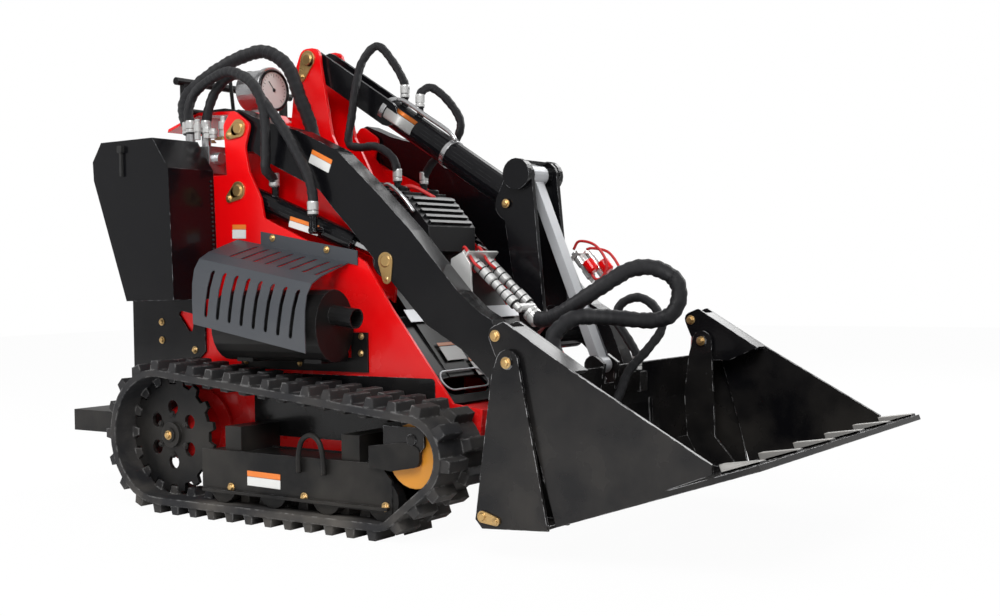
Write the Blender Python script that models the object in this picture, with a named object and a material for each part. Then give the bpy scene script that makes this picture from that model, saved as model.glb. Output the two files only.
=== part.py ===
# Mini skid steer loader on rubber tracks, with a self-levelling lift arm and a clam bucket.
# Metres, +Z up, +X towards the bucket, +Y to the machine's left.
# Side outlines are (x, z) points: x from the drive sprocket's axle, z from the ground.
# The whole machine hangs on one empty, which puts the middle of its length on x = 0.

from math import atan2, ceil, cos, degrees, hypot, pi, radians, sin, tan

import bmesh
import bpy
from mathutils import Matrix, Vector

# Clearances
SEAT = 0.0003
RUN = 0.006
PIN_FIT = 0.0003
BORE_FIT = 0.0005
FLAT_ANGLE = 0.0005

# Rubber track and its wheels
TRACK_Y = 0.430
TRACK_WIDTH = 0.180
LINK_PITCH = 0.072
SPROCKET_TEETH = 16
SPROCKET_Z = 0.215
IDLER_X = 0.900
IDLER_Z = 0.215
IDLER_BELT_R = 0.098
FRONT_ROLLER_X = 0.800
ROLLER_BELT_R = 0.068
BAND_OUT = 0.007
BAND_IN = 0.013
LUG_HEIGHT = 0.025
LUG_LENGTH = 0.034
DRIVE_LUG_HEIGHT = 0.022
DRIVE_LUG_WIDTH = 0.046
SPROCKET_DISC_Y = TRACK_Y + 0.016
SPROCKET_DISC_THICK = 0.012
ROLLER_R = 0.052
ROLLER_COUNT = 4
ROLLER_FIRST_X = 0.235

# Chassis
TRACK_GAP = 0.010
WALL_Y = TRACK_Y - TRACK_WIDTH / 2 - TRACK_GAP
WALL_THICK = 0.008
TOWER_SLOT = 0.076
TOWER_INNER_THICK = 0.008
FLOOR_Z = 0.175
FLOOR_THICK = 0.010
EDGE_TOP = (0.709, 0.575)
EDGE_FOOT = (0.905, 0.330)
PANEL_BACK = 0.022
PANEL_THICK = 0.006

# Lift arm and its cylinder, (x, z) of each pin
LIFT_PIN = (0.150, 1.080)
LIFT_BASE_PIN = (0.143, 0.9035)
LIFT_ROD_PIN = (0.680, 0.697)
ARM_WIDTH = 0.060
ARM_HUB_R = 0.062
PIN_R = 0.015
LIFT_BARREL_R = 0.029
LIFT_BARREL_END = 0.440
LIFT_ROD_R = 0.016
LIFT_EYE_R = 0.032
LUG_EYE_R = 0.040
ROD_SLOT_R = 0.057
CROSS_TUBE = (0.915, 0.475)
LUG_PLATE = 0.010

# Centre tower, tilt cylinder, rocker and link
TILT_PIN = (0.190, 1.305)
ROD_PIN = (0.911, 0.847)
LINK_PIN = (0.945, 0.925)
ROCKER_PIN = (0.979, 0.540)
HITCH_PIN = (1.090, 0.255)
BUCKET_TOP_PIN = (1.150, 0.414)
TOWER_HALF = 0.057
TOWER_PLATE = 0.010
YOKE_HALF = 0.038
YOKE_PLATE = 0.010
YOKE_END = 0.330
TILT_BARREL_R = 0.040
TILT_BARREL_END = 0.800
TILT_ROD_R = 0.020
TILT_EYE_R = 0.034
ROCKER_HALF = 0.070
ROCKER_PLATE = 0.014
LINK_BAR_WIDTH = 0.040
LINK_BAR_THICK = 0.025
LINK_EYE_R = 0.028
LINK_EYE_HALF = 0.034
LINK_NOTCH_HALF = 0.028
LINK_NOTCH_Z = 0.368

# Clam bucket
BUCKET_HALF = 0.549
SIDE_PLATE = 0.008
CLAM_PIN = (1.222, 0.456)
CLAM_TOP_PIN = (1.181, 0.516)
CLAM_FOOT_PIN = (1.150, 0.100)
CLAM_SLOT = 0.050
BLADE_TIP = (1.827, 0.250)
BLADE_THICK = 0.014
WALL_PLATE = 0.006
CLAM_BARREL_R = 0.018
CLAM_ROD_R = 0.011
CLAM_EYE_R = 0.022

# Hoses
HOSE_R = 0.014
SLEEVE_R = 0.020
FITTING_R = 0.010
HOSE_SPACING = 0.085

# Rear platform
PLATFORM_REAR = -0.600
PLATFORM_HALF = WALL_Y

MID_X = (PLATFORM_REAR + BLADE_TIP[0]) / 2


# Scene

def clear_scene():
    for old in list(bpy.data.objects):
        bpy.data.objects.remove(old, do_unlink=True)


def new_collection(name, hidden):
    made = bpy.data.collections.new(name)
    bpy.context.scene.collection.children.link(made)
    made.hide_render = hidden
    return made


def paint(name, colour, roughness, metallic):
    material = bpy.data.materials.new(name)
    material.use_nodes = True
    shader = material.node_tree.nodes["Principled BSDF"]
    shader.inputs["Base Color"].default_value = (*colour, 1.0)
    shader.inputs["Roughness"].default_value = roughness
    shader.inputs["Metallic"].default_value = metallic
    material.diffuse_color = (*colour, 1.0)
    return material


clear_scene()
MACHINE = new_collection("mini_skid_steer_loader", False)
CUTTERS = new_collection("cutters", True)

RED = paint("red_paint", (0.80, 0.01, 0.02), 0.3, 0.0)
BLACK = paint("black_paint", (0.02, 0.02, 0.022), 0.35, 0.0)
GREY = paint("grey_paint", (0.10, 0.11, 0.12), 0.45, 0.0)
RUBBER = paint("track_rubber", (0.06, 0.06, 0.065), 0.8, 0.0)
HOSE = paint("hose_sleeve", (0.03, 0.03, 0.03), 0.75, 0.0)
STEEL = paint("bare_steel", (0.75, 0.75, 0.76), 0.3, 1.0)
ZINC = paint("yellow_zinc", (0.75, 0.55, 0.22), 0.35, 1.0)
YELLOW = paint("yellow_paint", (0.85, 0.45, 0.05), 0.4, 0.0)
SILVER = paint("silver_paint", (0.55, 0.56, 0.58), 0.35, 0.3)


# Outlines

def arc(centre, radius, start, end, steps):
    """Points of an arc, angles in degrees."""
    return [
        (centre[0] + radius * cos(radians(start + (end - start) * i / steps)),
         centre[1] + radius * sin(radians(start + (end - start) * i / steps)))
        for i in range(steps + 1)
    ]


def circle(centre, radius, steps=16):
    return arc(centre, radius, 0.0, 360.0 - 360.0 / steps, steps - 1)


def direction(start, end):
    return degrees(atan2(end[1] - start[1], end[0] - start[0]))


def along(start, end, distance):
    length = hypot(end[0] - start[0], end[1] - start[1])
    return (start[0] + (end[0] - start[0]) * distance / length,
            start[1] + (end[1] - start[1]) * distance / length)


def span(start, end):
    return hypot(end[0] - start[0], end[1] - start[1])


def rounded(corners, steps=3):
    """An outline from (x, z) corners, or (x, z, radius) for a rounded one."""
    points = []
    count = len(corners)
    for i, corner in enumerate(corners):
        here = Vector(corner[:2])
        if len(corner) == 2:
            points.append(tuple(here))
            continue
        before = (Vector(corners[i - 1][:2]) - here).normalized()
        after = (Vector(corners[(i + 1) % count][:2]) - here).normalized()
        half = before.angle(after) / 2
        reach = corner[2] / tan(half)
        start = here + before * reach
        end = here + after * reach
        middle = here + (before + after).normalized() * (corner[2] / sin(half))
        first = atan2(start.y - middle.y, start.x - middle.x)
        turn = atan2(end.y - middle.y, end.x - middle.x) - first
        turn = (turn + pi) % (2 * pi) - pi
        for k in range(steps + 1):
            angle = first + turn * k / steps
            points.append((middle.x + corner[2] * cos(angle), middle.y + corner[2] * sin(angle)))
    return points


def capsule(start, end, radius_start, radius_end=None, steps=6):
    """A link outline round two pins."""
    radius_end = radius_start if radius_end is None else radius_end
    heading = direction(start, end)
    spread = degrees(atan2(radius_start - radius_end, span(start, end)))
    return (arc(start, radius_start, heading + 90 - spread, heading + 270 + spread, steps)
            + arc(end, radius_end, heading - 90 + spread, heading + 90 - spread, steps))


# Solids

def link_object(mesh, name, material, smooth=False):
    mesh.materials.clear()
    mesh.materials.append(material)
    if smooth:
        mesh.shade_smooth()
        mesh.set_sharp_from_angle(angle=radians(35))
    made = bpy.data.objects.new(name, mesh)
    MACHINE.objects.link(made)
    return made


def read_mesh(source):
    """The evaluated mesh of a helper, in machine coordinates; the helper goes."""
    bpy.context.view_layer.update()
    graph = bpy.context.evaluated_depsgraph_get()
    mesh = bpy.data.meshes.new_from_object(source.evaluated_get(graph))
    mesh.transform(source.matrix_world)
    bpy.data.objects.remove(source, do_unlink=True)
    shape = bmesh.new()
    shape.from_mesh(mesh)
    bmesh.ops.remove_doubles(shape, verts=shape.verts, dist=0.00001)
    bmesh.ops.dissolve_limit(shape, angle_limit=FLAT_ANGLE, verts=shape.verts, edges=shape.edges)
    bmesh.ops.recalc_face_normals(shape, faces=shape.faces)
    shape.to_mesh(mesh)
    shape.free()
    return mesh


def helper(mesh):
    made = bpy.data.objects.new("helper", mesh)
    CUTTERS.objects.link(made)
    made.display_type = "WIRE"
    made.hide_render = True
    return made


def flat(outline, y_low, y_high, holes=()):
    """A plate across the machine: an outline in x and z between two y values."""
    data = bpy.data.curves.new("outline", "CURVE")
    data.dimensions = "2D"
    data.fill_mode = "BOTH"
    data.extrude = (y_high - y_low) / 2
    for ring in (outline, *holes):
        spline = data.splines.new("POLY")
        spline.points.add(len(ring) - 1)
        for point, (x, z) in zip(spline.points, ring):
            point.co = (x, z, 0.0, 1.0)
        spline.use_cyclic_u = True
    source = bpy.data.objects.new("outline", data)
    CUTTERS.objects.link(source)
    source.matrix_world = (Matrix.Translation((0, (y_low + y_high) / 2, 0))
                           @ Matrix.Rotation(pi / 2, 4, "X"))
    return read_mesh(source)


def round_bar(start, end, radius, steps=12, end_radius=None):
    """A round bar between two points in space."""
    start = Vector(start)
    end = Vector(end)
    shape = bmesh.new()
    bmesh.ops.create_cone(shape, cap_ends=True, segments=steps, radius1=radius,
                          radius2=radius if end_radius is None else end_radius,
                          depth=(end - start).length)
    turn = Vector((0, 0, 1)).rotation_difference(end - start).to_matrix().to_4x4()
    shape.transform(Matrix.Translation((start + end) / 2) @ turn)
    mesh = bpy.data.meshes.new("round_bar")
    shape.to_mesh(mesh)
    shape.free()
    return mesh


def cross_bar(pin, radius, y_low, y_high, steps=12):
    """A round bar along y at an (x, z) pin."""
    return round_bar((pin[0], y_low, pin[1]), (pin[0], y_high, pin[1]), radius, steps)


def block(low, high):
    shape = bmesh.new()
    bmesh.ops.create_cube(shape, size=1.0)
    size = [b - a for a, b in zip(low, high)]
    middle = [(a + b) / 2 for a, b in zip(low, high)]
    shape.transform(Matrix.Translation(middle) @ Matrix.Diagonal((*size, 1.0)))
    mesh = bpy.data.meshes.new("block")
    shape.to_mesh(mesh)
    shape.free()
    return mesh


def combine(base, others, operation="UNION"):
    """One mesh from a base and other meshes, welded on or cut out one after another."""
    if not others:
        return base
    main = helper(base)
    tools = []
    for mesh in others:
        tool = helper(mesh)
        step = main.modifiers.new(operation.lower(), "BOOLEAN")
        step.operation = operation
        step.solver = "EXACT"
        step.object = tool
        tools.append(tool)
    result = read_mesh(main)
    for tool in tools:
        bpy.data.objects.remove(tool, do_unlink=True)
    return result


def weld(*meshes):
    return combine(meshes[0], meshes[1:])


def cut(base, *tools):
    return combine(base, tools, "DIFFERENCE")


def smooth_route(points, spacing):
    """Points of a Catmull-Rom curve through a route, about one every spacing."""
    knots = [Vector(p) for p in points]
    knots = [2 * knots[0] - knots[1], *knots, 2 * knots[-1] - knots[-2]]
    route = []
    for i in range(1, len(knots) - 2):
        a, b, c, d = knots[i - 1:i + 3]
        steps = ceil((c - b).length / spacing)
        for k in range(steps):
            t = k / steps
            route.append(0.5 * (2 * b + (c - a) * t + (2 * a - 5 * b + 4 * c - d) * t * t
                                + (3 * b - 3 * c + d - a) * t ** 3))
    route.append(knots[-2])
    return route


def pipe(points, radius, spacing=0.035):
    """A hose or tube along a smooth route with straight ends, closed flat."""
    data = bpy.data.curves.new("route", "CURVE")
    data.dimensions = "3D"
    data.bevel_depth = radius
    data.bevel_resolution = 2
    data.use_fill_caps = True
    route = [points[0], *smooth_route(points[1:-1], spacing), points[-1]]
    spline = data.splines.new("POLY")
    spline.points.add(len(route) - 1)
    for point, place in zip(spline.points, route):
        point.co = (*place, 1.0)
    source = bpy.data.objects.new("route", data)
    CUTTERS.objects.link(source)
    return read_mesh(source)


# Kinematic tree: one empty on each joint's axis

def joint(name, pin, parent=None, y=0.0):
    made = bpy.data.objects.new(name, None)
    made["pin"] = (pin[0], y, pin[1])
    MACHINE.objects.link(made)
    made.parent = parent
    made.location = Vector(made["pin"]) - Vector(parent["pin"])
    made.empty_display_size = 0.1
    return made


def machine_root():
    made = bpy.data.objects.new("machine", None)
    made["pin"] = (0.0, 0.0, 0.0)
    MACHINE.objects.link(made)
    made.location = (-MID_X, 0.0, 0.0)
    return made


def place(name, mesh, material, carrier, smooth=True):
    made = link_object(mesh, name, material, smooth)
    made.parent = carrier
    made.location = -Vector(carrier["pin"])
    return made


ROOT = machine_root()
LIFT_AXIS = joint("lift_axis", LIFT_PIN, ROOT)
ROCKER_LEVEL_AXIS = joint("rocker_level_axis", ROCKER_PIN, LIFT_AXIS)
ROCKER_AXIS = joint("rocker_axis", ROCKER_PIN, ROCKER_LEVEL_AXIS)
LINK_LEVEL_AXIS = joint("link_level_axis", LINK_PIN, ROCKER_AXIS)
LINK_AXIS = joint("link_axis", LINK_PIN, LINK_LEVEL_AXIS)
BUCKET_LEVEL_AXIS = joint("bucket_level_axis", HITCH_PIN, LIFT_AXIS)
BUCKET_AXIS = joint("bucket_axis", HITCH_PIN, BUCKET_LEVEL_AXIS)
CLAM_AXIS = joint("clam_axis", CLAM_PIN, BUCKET_AXIS)
CLAM_BARREL_AXIS = joint("clam_barrel_axis", CLAM_FOOT_PIN, BUCKET_AXIS)
CLAM_ROD_AXIS = joint("clam_rod_axis", CLAM_TOP_PIN, CLAM_BARREL_AXIS)
LIFT_BARREL_AXIS = joint("lift_barrel_axis", LIFT_BASE_PIN, ROOT)
LIFT_ROD_AXIS = joint("lift_rod_axis", LIFT_ROD_PIN, LIFT_BARREL_AXIS)
TILT_BARREL_AXIS = joint("tilt_barrel_axis", TILT_PIN, ROOT)
TILT_ROD_AXIS = joint("tilt_rod_axis", ROD_PIN, TILT_BARREL_AXIS)

SIDES = (("right", -1), ("left", 1))


def sided(side, near, far):
    """Two distances from the middle plane as low and high y on one side."""
    return tuple(sorted((side * near, side * far)))


# Rubber track

BELT_R = LINK_PITCH * SPROCKET_TEETH / (2 * pi)
GROUND_PITCH_Z = LUG_HEIGHT + BAND_OUT
ROLLER_Z = GROUND_PITCH_Z + ROLLER_BELT_R
BELT_WHEELS = (
    ((0.0, SPROCKET_Z), BELT_R),
    ((0.0 + 0.02, GROUND_PITCH_Z + 0.12), 0.12),
    ((FRONT_ROLLER_X, ROLLER_Z), ROLLER_BELT_R),
    ((IDLER_X, IDLER_Z), IDLER_BELT_R),
)


def belt_line():
    """The pitch line of the belt as (point, outward normal) at a fine even step: the hull of its wheels."""
    cloud = []
    for centre, radius in BELT_WHEELS:
        cloud += [(*p, (p[0] - centre[0], p[1] - centre[1])) for p in circle(centre, radius, 180)]
    points = sorted({(round(x, 7), round(z, 7)) for x, z, _ in cloud})

    def half(run):
        chain = []
        for p in run:
            while len(chain) > 1 and ((chain[-1][0] - chain[-2][0]) * (p[1] - chain[-2][1])
                                      - (chain[-1][1] - chain[-2][1]) * (p[0] - chain[-2][0])) <= 0:
                chain.pop()
            chain.append(p)
        return chain[:-1]

    return half(points) + half(points[::-1])


BELT = belt_line()
BELT_LENGTHS = [span(BELT[i], BELT[(i + 1) % len(BELT)]) for i in range(len(BELT))]
BELT_LENGTH = sum(BELT_LENGTHS)
LINKS = round(BELT_LENGTH / LINK_PITCH)
BELT_TURN = radians(9.0)


def belt_point(distance, offset):
    """The (x, z) point at a distance along the belt, offset outwards from its pitch line."""
    distance %= BELT_LENGTH
    i = 0
    while distance > BELT_LENGTHS[i]:
        distance -= BELT_LENGTHS[i]
        i += 1
    here = Vector(BELT[i])
    step = (Vector(BELT[(i + 1) % len(BELT)]) - here).normalized()
    point = here + step * distance
    return (point.x + step.y * offset, point.y - step.x * offset)


def belt_stations():
    """Distances along the belt for the band's outline: both ends of a straight run, and even turns of a bend."""
    places = []
    turned = BELT_TURN
    distance = 0.0
    for i, length in enumerate(BELT_LENGTHS):
        before = Vector(BELT[i]) - Vector(BELT[i - 1])
        after = Vector(BELT[(i + 1) % len(BELT)]) - Vector(BELT[i])
        turned += before.angle(after)
        straight = max(before.length, after.length) > LINK_PITCH
        if straight or turned > BELT_TURN:
            places.append(distance)
            turned = 0.0
        distance += length
    return places


def tread_block(distance, low, high, near, far, length, crown):
    """One lug: from offset low to high, narrower at its crown."""
    shape = bmesh.new()
    bmesh.ops.create_cube(shape, size=2.0)
    for vert in shape.verts:
        top = vert.co.z > 0
        reach = (length / 2 - (crown if top else 0.0)) * vert.co.x
        x, z = belt_point(distance + reach, high if top else low)
        middle = (near + far) / 2
        half = (far - near) / 2 - (crown / 2 if top else 0.0)
        vert.co = (x, middle + vert.co.y * half, z)
    bmesh.ops.recalc_face_normals(shape, faces=shape.faces)
    mesh = bpy.data.meshes.new("tread_block")
    shape.to_mesh(mesh)
    shape.free()
    return mesh


def joined(meshes):
    """Meshes that don't touch, as one mesh."""
    shape = bmesh.new()
    for mesh in meshes:
        shape.from_mesh(mesh)
    made = bpy.data.meshes.new("joined")
    shape.to_mesh(made)
    shape.free()
    return made


def build_track(label, side):
    inner = side * TRACK_Y - TRACK_WIDTH / 2
    outer = side * TRACK_Y + TRACK_WIDTH / 2
    pitch = BELT_LENGTH / LINKS
    stations = belt_stations()
    band = flat([belt_point(s, BAND_OUT) for s in stations], inner, outer,
                holes=([belt_point(s, -BAND_IN) for s in stations],))
    sink = 0.004
    middle = side * TRACK_Y
    lugs = []
    for k in range(LINKS):
        here = k * pitch
        outer_row = sorted((middle + side * 0.004, middle + side * TRACK_WIDTH / 2 - side * 0.003))
        inner_row = sorted((middle - side * 0.004, middle - side * TRACK_WIDTH / 2 + side * 0.003))
        lugs.append(tread_block(here, BAND_OUT - sink, BAND_OUT + LUG_HEIGHT, *outer_row,
                                LUG_LENGTH, 0.006))
        lugs.append(tread_block(here + pitch / 2, BAND_OUT - sink, BAND_OUT + LUG_HEIGHT, *inner_row,
                                LUG_LENGTH, 0.006))
    drive = [tread_block(k * pitch, -BAND_IN - DRIVE_LUG_HEIGHT, -BAND_IN + sink,
                         middle - DRIVE_LUG_WIDTH / 2, middle + DRIVE_LUG_WIDTH / 2, 0.026, -0.005)
             for k in range(LINKS)]
    place(f"track_{label}", weld(band, joined(lugs), joined(drive)), RUBBER, ROOT)


def build_sprocket(label, side):
    inner_r = BELT_R - BAND_IN - DRIVE_LUG_HEIGHT - 0.004
    tip_r = BELT_R - BAND_IN - 0.006
    phase = 360.0 / SPROCKET_TEETH
    outline = []
    for k in range(SPROCKET_TEETH):
        middle = (k + 0.5) * phase + 180
        for turn, radius in ((-6.0, inner_r), (-3.6, tip_r), (3.6, tip_r), (6.0, inner_r)):
            outline += arc((0.0, SPROCKET_Z), radius, middle + turn, middle + turn, 1)[:1]
    holes = [circle(arc((0.0, SPROCKET_Z), 0.078, a, a, 1)[0], 0.021, 12) for a in range(30, 390, 60)]
    near, far = sided(side, SPROCKET_DISC_Y - SPROCKET_DISC_THICK / 2, SPROCKET_DISC_Y + SPROCKET_DISC_THICK / 2)
    disc = flat(outline, near, far, holes)
    hub_far = SPROCKET_DISC_Y + SPROCKET_DISC_THICK / 2 + 0.012
    hub = cross_bar((0.0, SPROCKET_Z), 0.036, *sided(side, WALL_Y + SEAT, hub_far), 20)
    place(f"sprocket_{label}", weld(disc, hub), BLACK, ROOT)


def build_idler(label, side):
    rim = IDLER_BELT_R - BAND_IN - 0.004
    web = DRIVE_LUG_WIDTH / 2 + 0.006
    centre = (IDLER_X, IDLER_Z)
    inner = cross_bar(centre, rim, *sided(side, TRACK_Y - 0.055, TRACK_Y - web), 28)
    outer = cross_bar(centre, rim, *sided(side, TRACK_Y + web, TRACK_Y + 0.055), 28)
    core = cross_bar(centre, rim - DRIVE_LUG_HEIGHT - 0.006, *sided(side, TRACK_Y - web - 0.002, TRACK_Y + web + 0.002), 28)
    hub = cross_bar(centre, 0.028, *sided(side, TRACK_Y - 0.062, TRACK_Y + 0.062), 20)
    place(f"idler_{label}", weld(inner, core, outer, hub), YELLOW, ROOT)


FRAME_OUT = TRACK_Y + 0.062
FRAME_IN = WALL_Y + 0.022
FRAME_PLATE = 0.008


def build_track_frame(label, side):
    outline = rounded([(0.160, 0.075), (0.832, 0.068), (0.832, 0.150), (0.795, 0.190), (0.160, 0.190)])
    plates = []
    for near in (FRAME_IN, FRAME_OUT - FRAME_PLATE):
        plates.append(flat(outline, *sided(side, near, near + FRAME_PLATE)))
    deck = block((0.165, min(side * FRAME_IN, side * FRAME_OUT) + 0.002, 0.176),
                 (0.790, max(side * FRAME_IN, side * FRAME_OUT) - 0.002, 0.186))
    lip = block((0.170, *sided(side, FRAME_OUT - 0.004, FRAME_OUT + 0.012)[:1], 0.075),
                (0.825, *sided(side, FRAME_OUT - 0.004, FRAME_OUT + 0.012)[1:], 0.083))
    wheels = []
    roller_step = (FRONT_ROLLER_X - ROLLER_FIRST_X) / (ROLLER_COUNT - 1)
    for k in range(ROLLER_COUNT):
        centre = (ROLLER_FIRST_X + k * roller_step, GROUND_PITCH_Z + BAND_IN + ROLLER_R + SEAT)
        wheels.append(cross_bar(centre, 0.014, *sided(side, FRAME_IN + 0.002, FRAME_OUT - 0.002), 12))
        for near in (TRACK_Y - DRIVE_LUG_WIDTH / 2 - 0.038, TRACK_Y + DRIVE_LUG_WIDTH / 2 + 0.006):
            wheels.append(cross_bar(centre, ROLLER_R, *sided(side, near, near + 0.030), 20))
    mast = [block((x, *sided(side, WALL_Y + SEAT, FRAME_OUT - 0.012)[:1], 0.182),
                  (x + 0.060, *sided(side, WALL_Y + SEAT, FRAME_OUT - 0.012)[1:], 0.255))
            for x in (0.240, 0.660)]
    fork = flat(rounded([(0.770, 0.182), (0.770, 0.235), (0.880, 0.250, 0.02), (0.930, 0.240, 0.02),
                         (0.930, 0.192, 0.02), (0.840, 0.176)]),
                *sided(side, TRACK_Y + 0.062 + SEAT, TRACK_Y + 0.074))
    inner_fork = flat(rounded([(0.770, 0.182), (0.770, 0.235), (0.880, 0.250, 0.02), (0.930, 0.240, 0.02),
                               (0.930, 0.192, 0.02), (0.840, 0.176)]),
                      *sided(side, TRACK_Y - 0.074, TRACK_Y - 0.062 - SEAT))
    tie = block((0.775, *sided(side, TRACK_Y - 0.072, TRACK_Y + 0.072)[:1], 0.184),
                (0.798, *sided(side, TRACK_Y - 0.072, TRACK_Y + 0.072)[1:], 0.232))
    place(f"track_frame_{label}", weld(deck, *plates, lip, *wheels, *mast, fork, inner_fork, tie), BLACK, ROOT)


# Chassis

TOWER_OUT = WALL_Y
SLOT_OUT = WALL_Y - WALL_THICK
SLOT_IN = SLOT_OUT - TOWER_SLOT
ARM_Y = (SLOT_OUT + SLOT_IN) / 2
ARM_OUT = ARM_Y + ARM_WIDTH / 2
ARM_IN = ARM_Y - ARM_WIDTH / 2


def pin_hole(pin, radius=PIN_R, steps=12):
    """A bore round a pin, turned half a step so that its flats face the pin's corners."""
    half = 180.0 / steps
    return arc(pin, (radius + PIN_FIT) / cos(pi / steps), half, 360.0 - half, steps - 1)


SEAT_Z = 0.825
POCKET_Z = 0.795


def set_back(point, distance):
    """A point moved back from the slanted front edge of the walls."""
    along_edge = (Vector(EDGE_FOOT) - Vector(EDGE_TOP)).normalized()
    return (point[0] + along_edge.y * distance, point[1] - along_edge.x * distance)


def build_chassis():
    ear = [(0.100, 1.100, 0.02), (0.135, 1.142, 0.02), (0.207, 1.095, 0.02), (0.184, 1.030, 0.04),
           (0.198, 0.962), (0.244, 0.880, 0.03), (0.254, 0.826, 0.01)]
    wall = rounded([
        (-0.300, 0.300), (-0.300, 0.605), (-0.250, 0.640), (-0.250, 1.040, 0.03), (-0.020, 1.040, 0.03),
        (0.052, 0.955), (0.110, 0.955), *ear,
        (0.440, 0.748), (0.560, 0.702), (0.571, 0.722), (0.623, 0.695), EDGE_TOP, EDGE_FOOT,
        (0.998, 0.319), (0.985, 0.230), (0.860, FLOOR_Z), (-0.060, FLOOR_Z), (-0.120, 0.300)])
    inner = rounded([
        (0.045, 0.770), (0.045, 1.020), *ear[:4],
        (0.198, 1.005), (0.262, 0.990), (0.330, 0.960), (0.440, 0.907), (0.490, 0.852), (0.556, 0.773),
        (0.590, 0.733), (0.660, 0.655), (0.652, 0.585), (0.560, 0.640), (0.235, 0.770)])
    pocket = [(0.228, POCKET_Z), (0.560, 0.655), (0.645, 0.604), (0.645, 0.597), (0.557, 0.648), (0.225, 0.788)]
    inner_face = SLOT_IN - TOWER_INNER_THICK
    outer_face = WALL_Y - 0.002
    pieces = []
    for _, side in SIDES:
        pieces.append(flat(wall, *sided(side, SLOT_OUT, TOWER_OUT)))
        pieces.append(flat(inner, *sided(side, inner_face, SLOT_IN)))
        pieces.append(flat(pocket, *sided(side, inner_face + 0.002, outer_face)))
        for pin in (LIFT_PIN, LIFT_BASE_PIN):
            pieces.append(cross_bar(pin, PIN_R, *sided(side, SLOT_IN - 0.004, TOWER_OUT + 0.005)))
        near, far = sided(side, inner_face + 0.001, outer_face)
        pieces.append(block((0.046, near, POCKET_Z - 0.010), (0.235, far, SEAT_Z)))
        pieces.append(block((0.046, near, POCKET_Z), (0.064, far, 0.954)))
        pieces.append(block((0.048, near, 0.946), (0.132, far, 0.953)))
    reach = WALL_Y - 0.002
    floor = block((-0.055, -reach, FLOOR_Z + 0.002), (0.858, reach, FLOOR_Z + FLOOR_THICK))
    beam = flat([(0.884, 0.319), (0.962, 0.311), (0.956, 0.226), (0.862, 0.178), (0.850, 0.184), (0.950, 0.230),
                 (0.956, 0.305), (0.884, 0.313)], -reach, reach)
    rear = block((-0.298, -reach, 0.302), (-0.290, reach, 0.604))
    rear_floor = block((-0.292, -reach, 0.302), (-0.050, reach, 0.312))
    riser = block((-0.062, -reach, FLOOR_Z + 0.002), (-0.052, reach, 0.310))
    bulkhead = block((0.050, -reach, FLOOR_Z + 0.006), (0.060, reach, 0.815))
    back_wall = block((-0.248, -reach, 0.645), (-0.240, reach, 1.030))
    back_step = block((-0.298, -reach, 0.600), (-0.240, reach, 0.608))
    back_join = block((-0.250, -reach, 0.602), (-0.242, reach, 0.650))
    place("chassis", weld(floor, *pieces, beam, rear, rear_floor, riser, bulkhead, back_wall, back_step, back_join),
          RED, ROOT)


HOOD_HALF = SLOT_IN - TOWER_INNER_THICK - SEAT
HOOD_LINE = [(-0.236, 1.120), (-0.100, 1.160), (0.090, 1.150), (0.235, 0.985), (0.330, 0.900)]


def hood_z(x):
    """Height of the hood's top at x."""
    for a, b in zip(HOOD_LINE, HOOD_LINE[1:]):
        if a[0] <= x <= b[0]:
            return a[1] + (b[1] - a[1]) * (x - a[0]) / (b[0] - a[0])
    return HOOD_LINE[0][1]


def build_hood():
    upper = HOOD_LINE
    lower = [(x - 0.004, z - 0.010) for x, z in reversed(upper)]
    opening = block((0.070, -TOWER_HALF - 0.003, 0.850), (0.400, TOWER_HALF + 0.003, 1.300))
    port = round_bar((0.262, -0.120, 0.945), (0.262, -0.120, 0.985), 0.014, 12)
    place("hood", weld(cut(flat(upper + lower, -HOOD_HALF, HOOD_HALF), opening), port), RED, ROOT)


def build_centre_tower():
    plate = rounded([
        (0.080, 0.930), (0.130, 1.290), (0.155, 1.345, 0.03), (0.225, 1.345, 0.03), (0.232, 1.285, 0.03),
        (0.270, 1.080), (0.352, 0.930)])
    plates = [flat(plate, *sided(side, TOWER_HALF - TOWER_PLATE, TOWER_HALF)) for _, side in SIDES]
    plates.append(cross_bar(TILT_PIN, PIN_R, -TOWER_HALF - 0.005, TOWER_HALF + 0.005))
    web = flat([(0.084, 0.935), (0.128, 1.235), (0.138, 1.235), (0.094, 0.935)],
               -TOWER_HALF + 0.002, TOWER_HALF - 0.002)
    foot = block((0.070, -SLOT_IN + TOWER_INNER_THICK + SEAT, 0.905), (0.240, SLOT_IN - TOWER_INNER_THICK - SEAT, 0.935))
    place("centre_tower", weld(foot, *plates, web), RED, ROOT)


SIDE_PANEL_TOP = (0.709, 0.562)
PANEL_TOP = (0.612, 0.696)


def build_front_panel():
    reach = SLOT_OUT - SEAT
    foot = along(EDGE_TOP, EDGE_FOOT, span(EDGE_TOP, EDGE_FOOT) - 0.012)
    narrow = SLOT_IN - TOWER_INNER_THICK - SEAT
    back = PANEL_BACK + PANEL_THICK
    pieces = []
    for top, half in ((SIDE_PANEL_TOP, reach), (PANEL_TOP, narrow)):
        outline = [set_back(p, PANEL_BACK) for p in (top, foot)] + [set_back(p, back) for p in (foot, top)]
        pieces.append(flat(outline, -half, half))
    panel = weld(*pieces)
    grip = slanted_slot((0.864, 0.381), -0.262, -0.125, 0.028)
    place("front_panel", cut(panel, grip), BLACK, ROOT)


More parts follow.
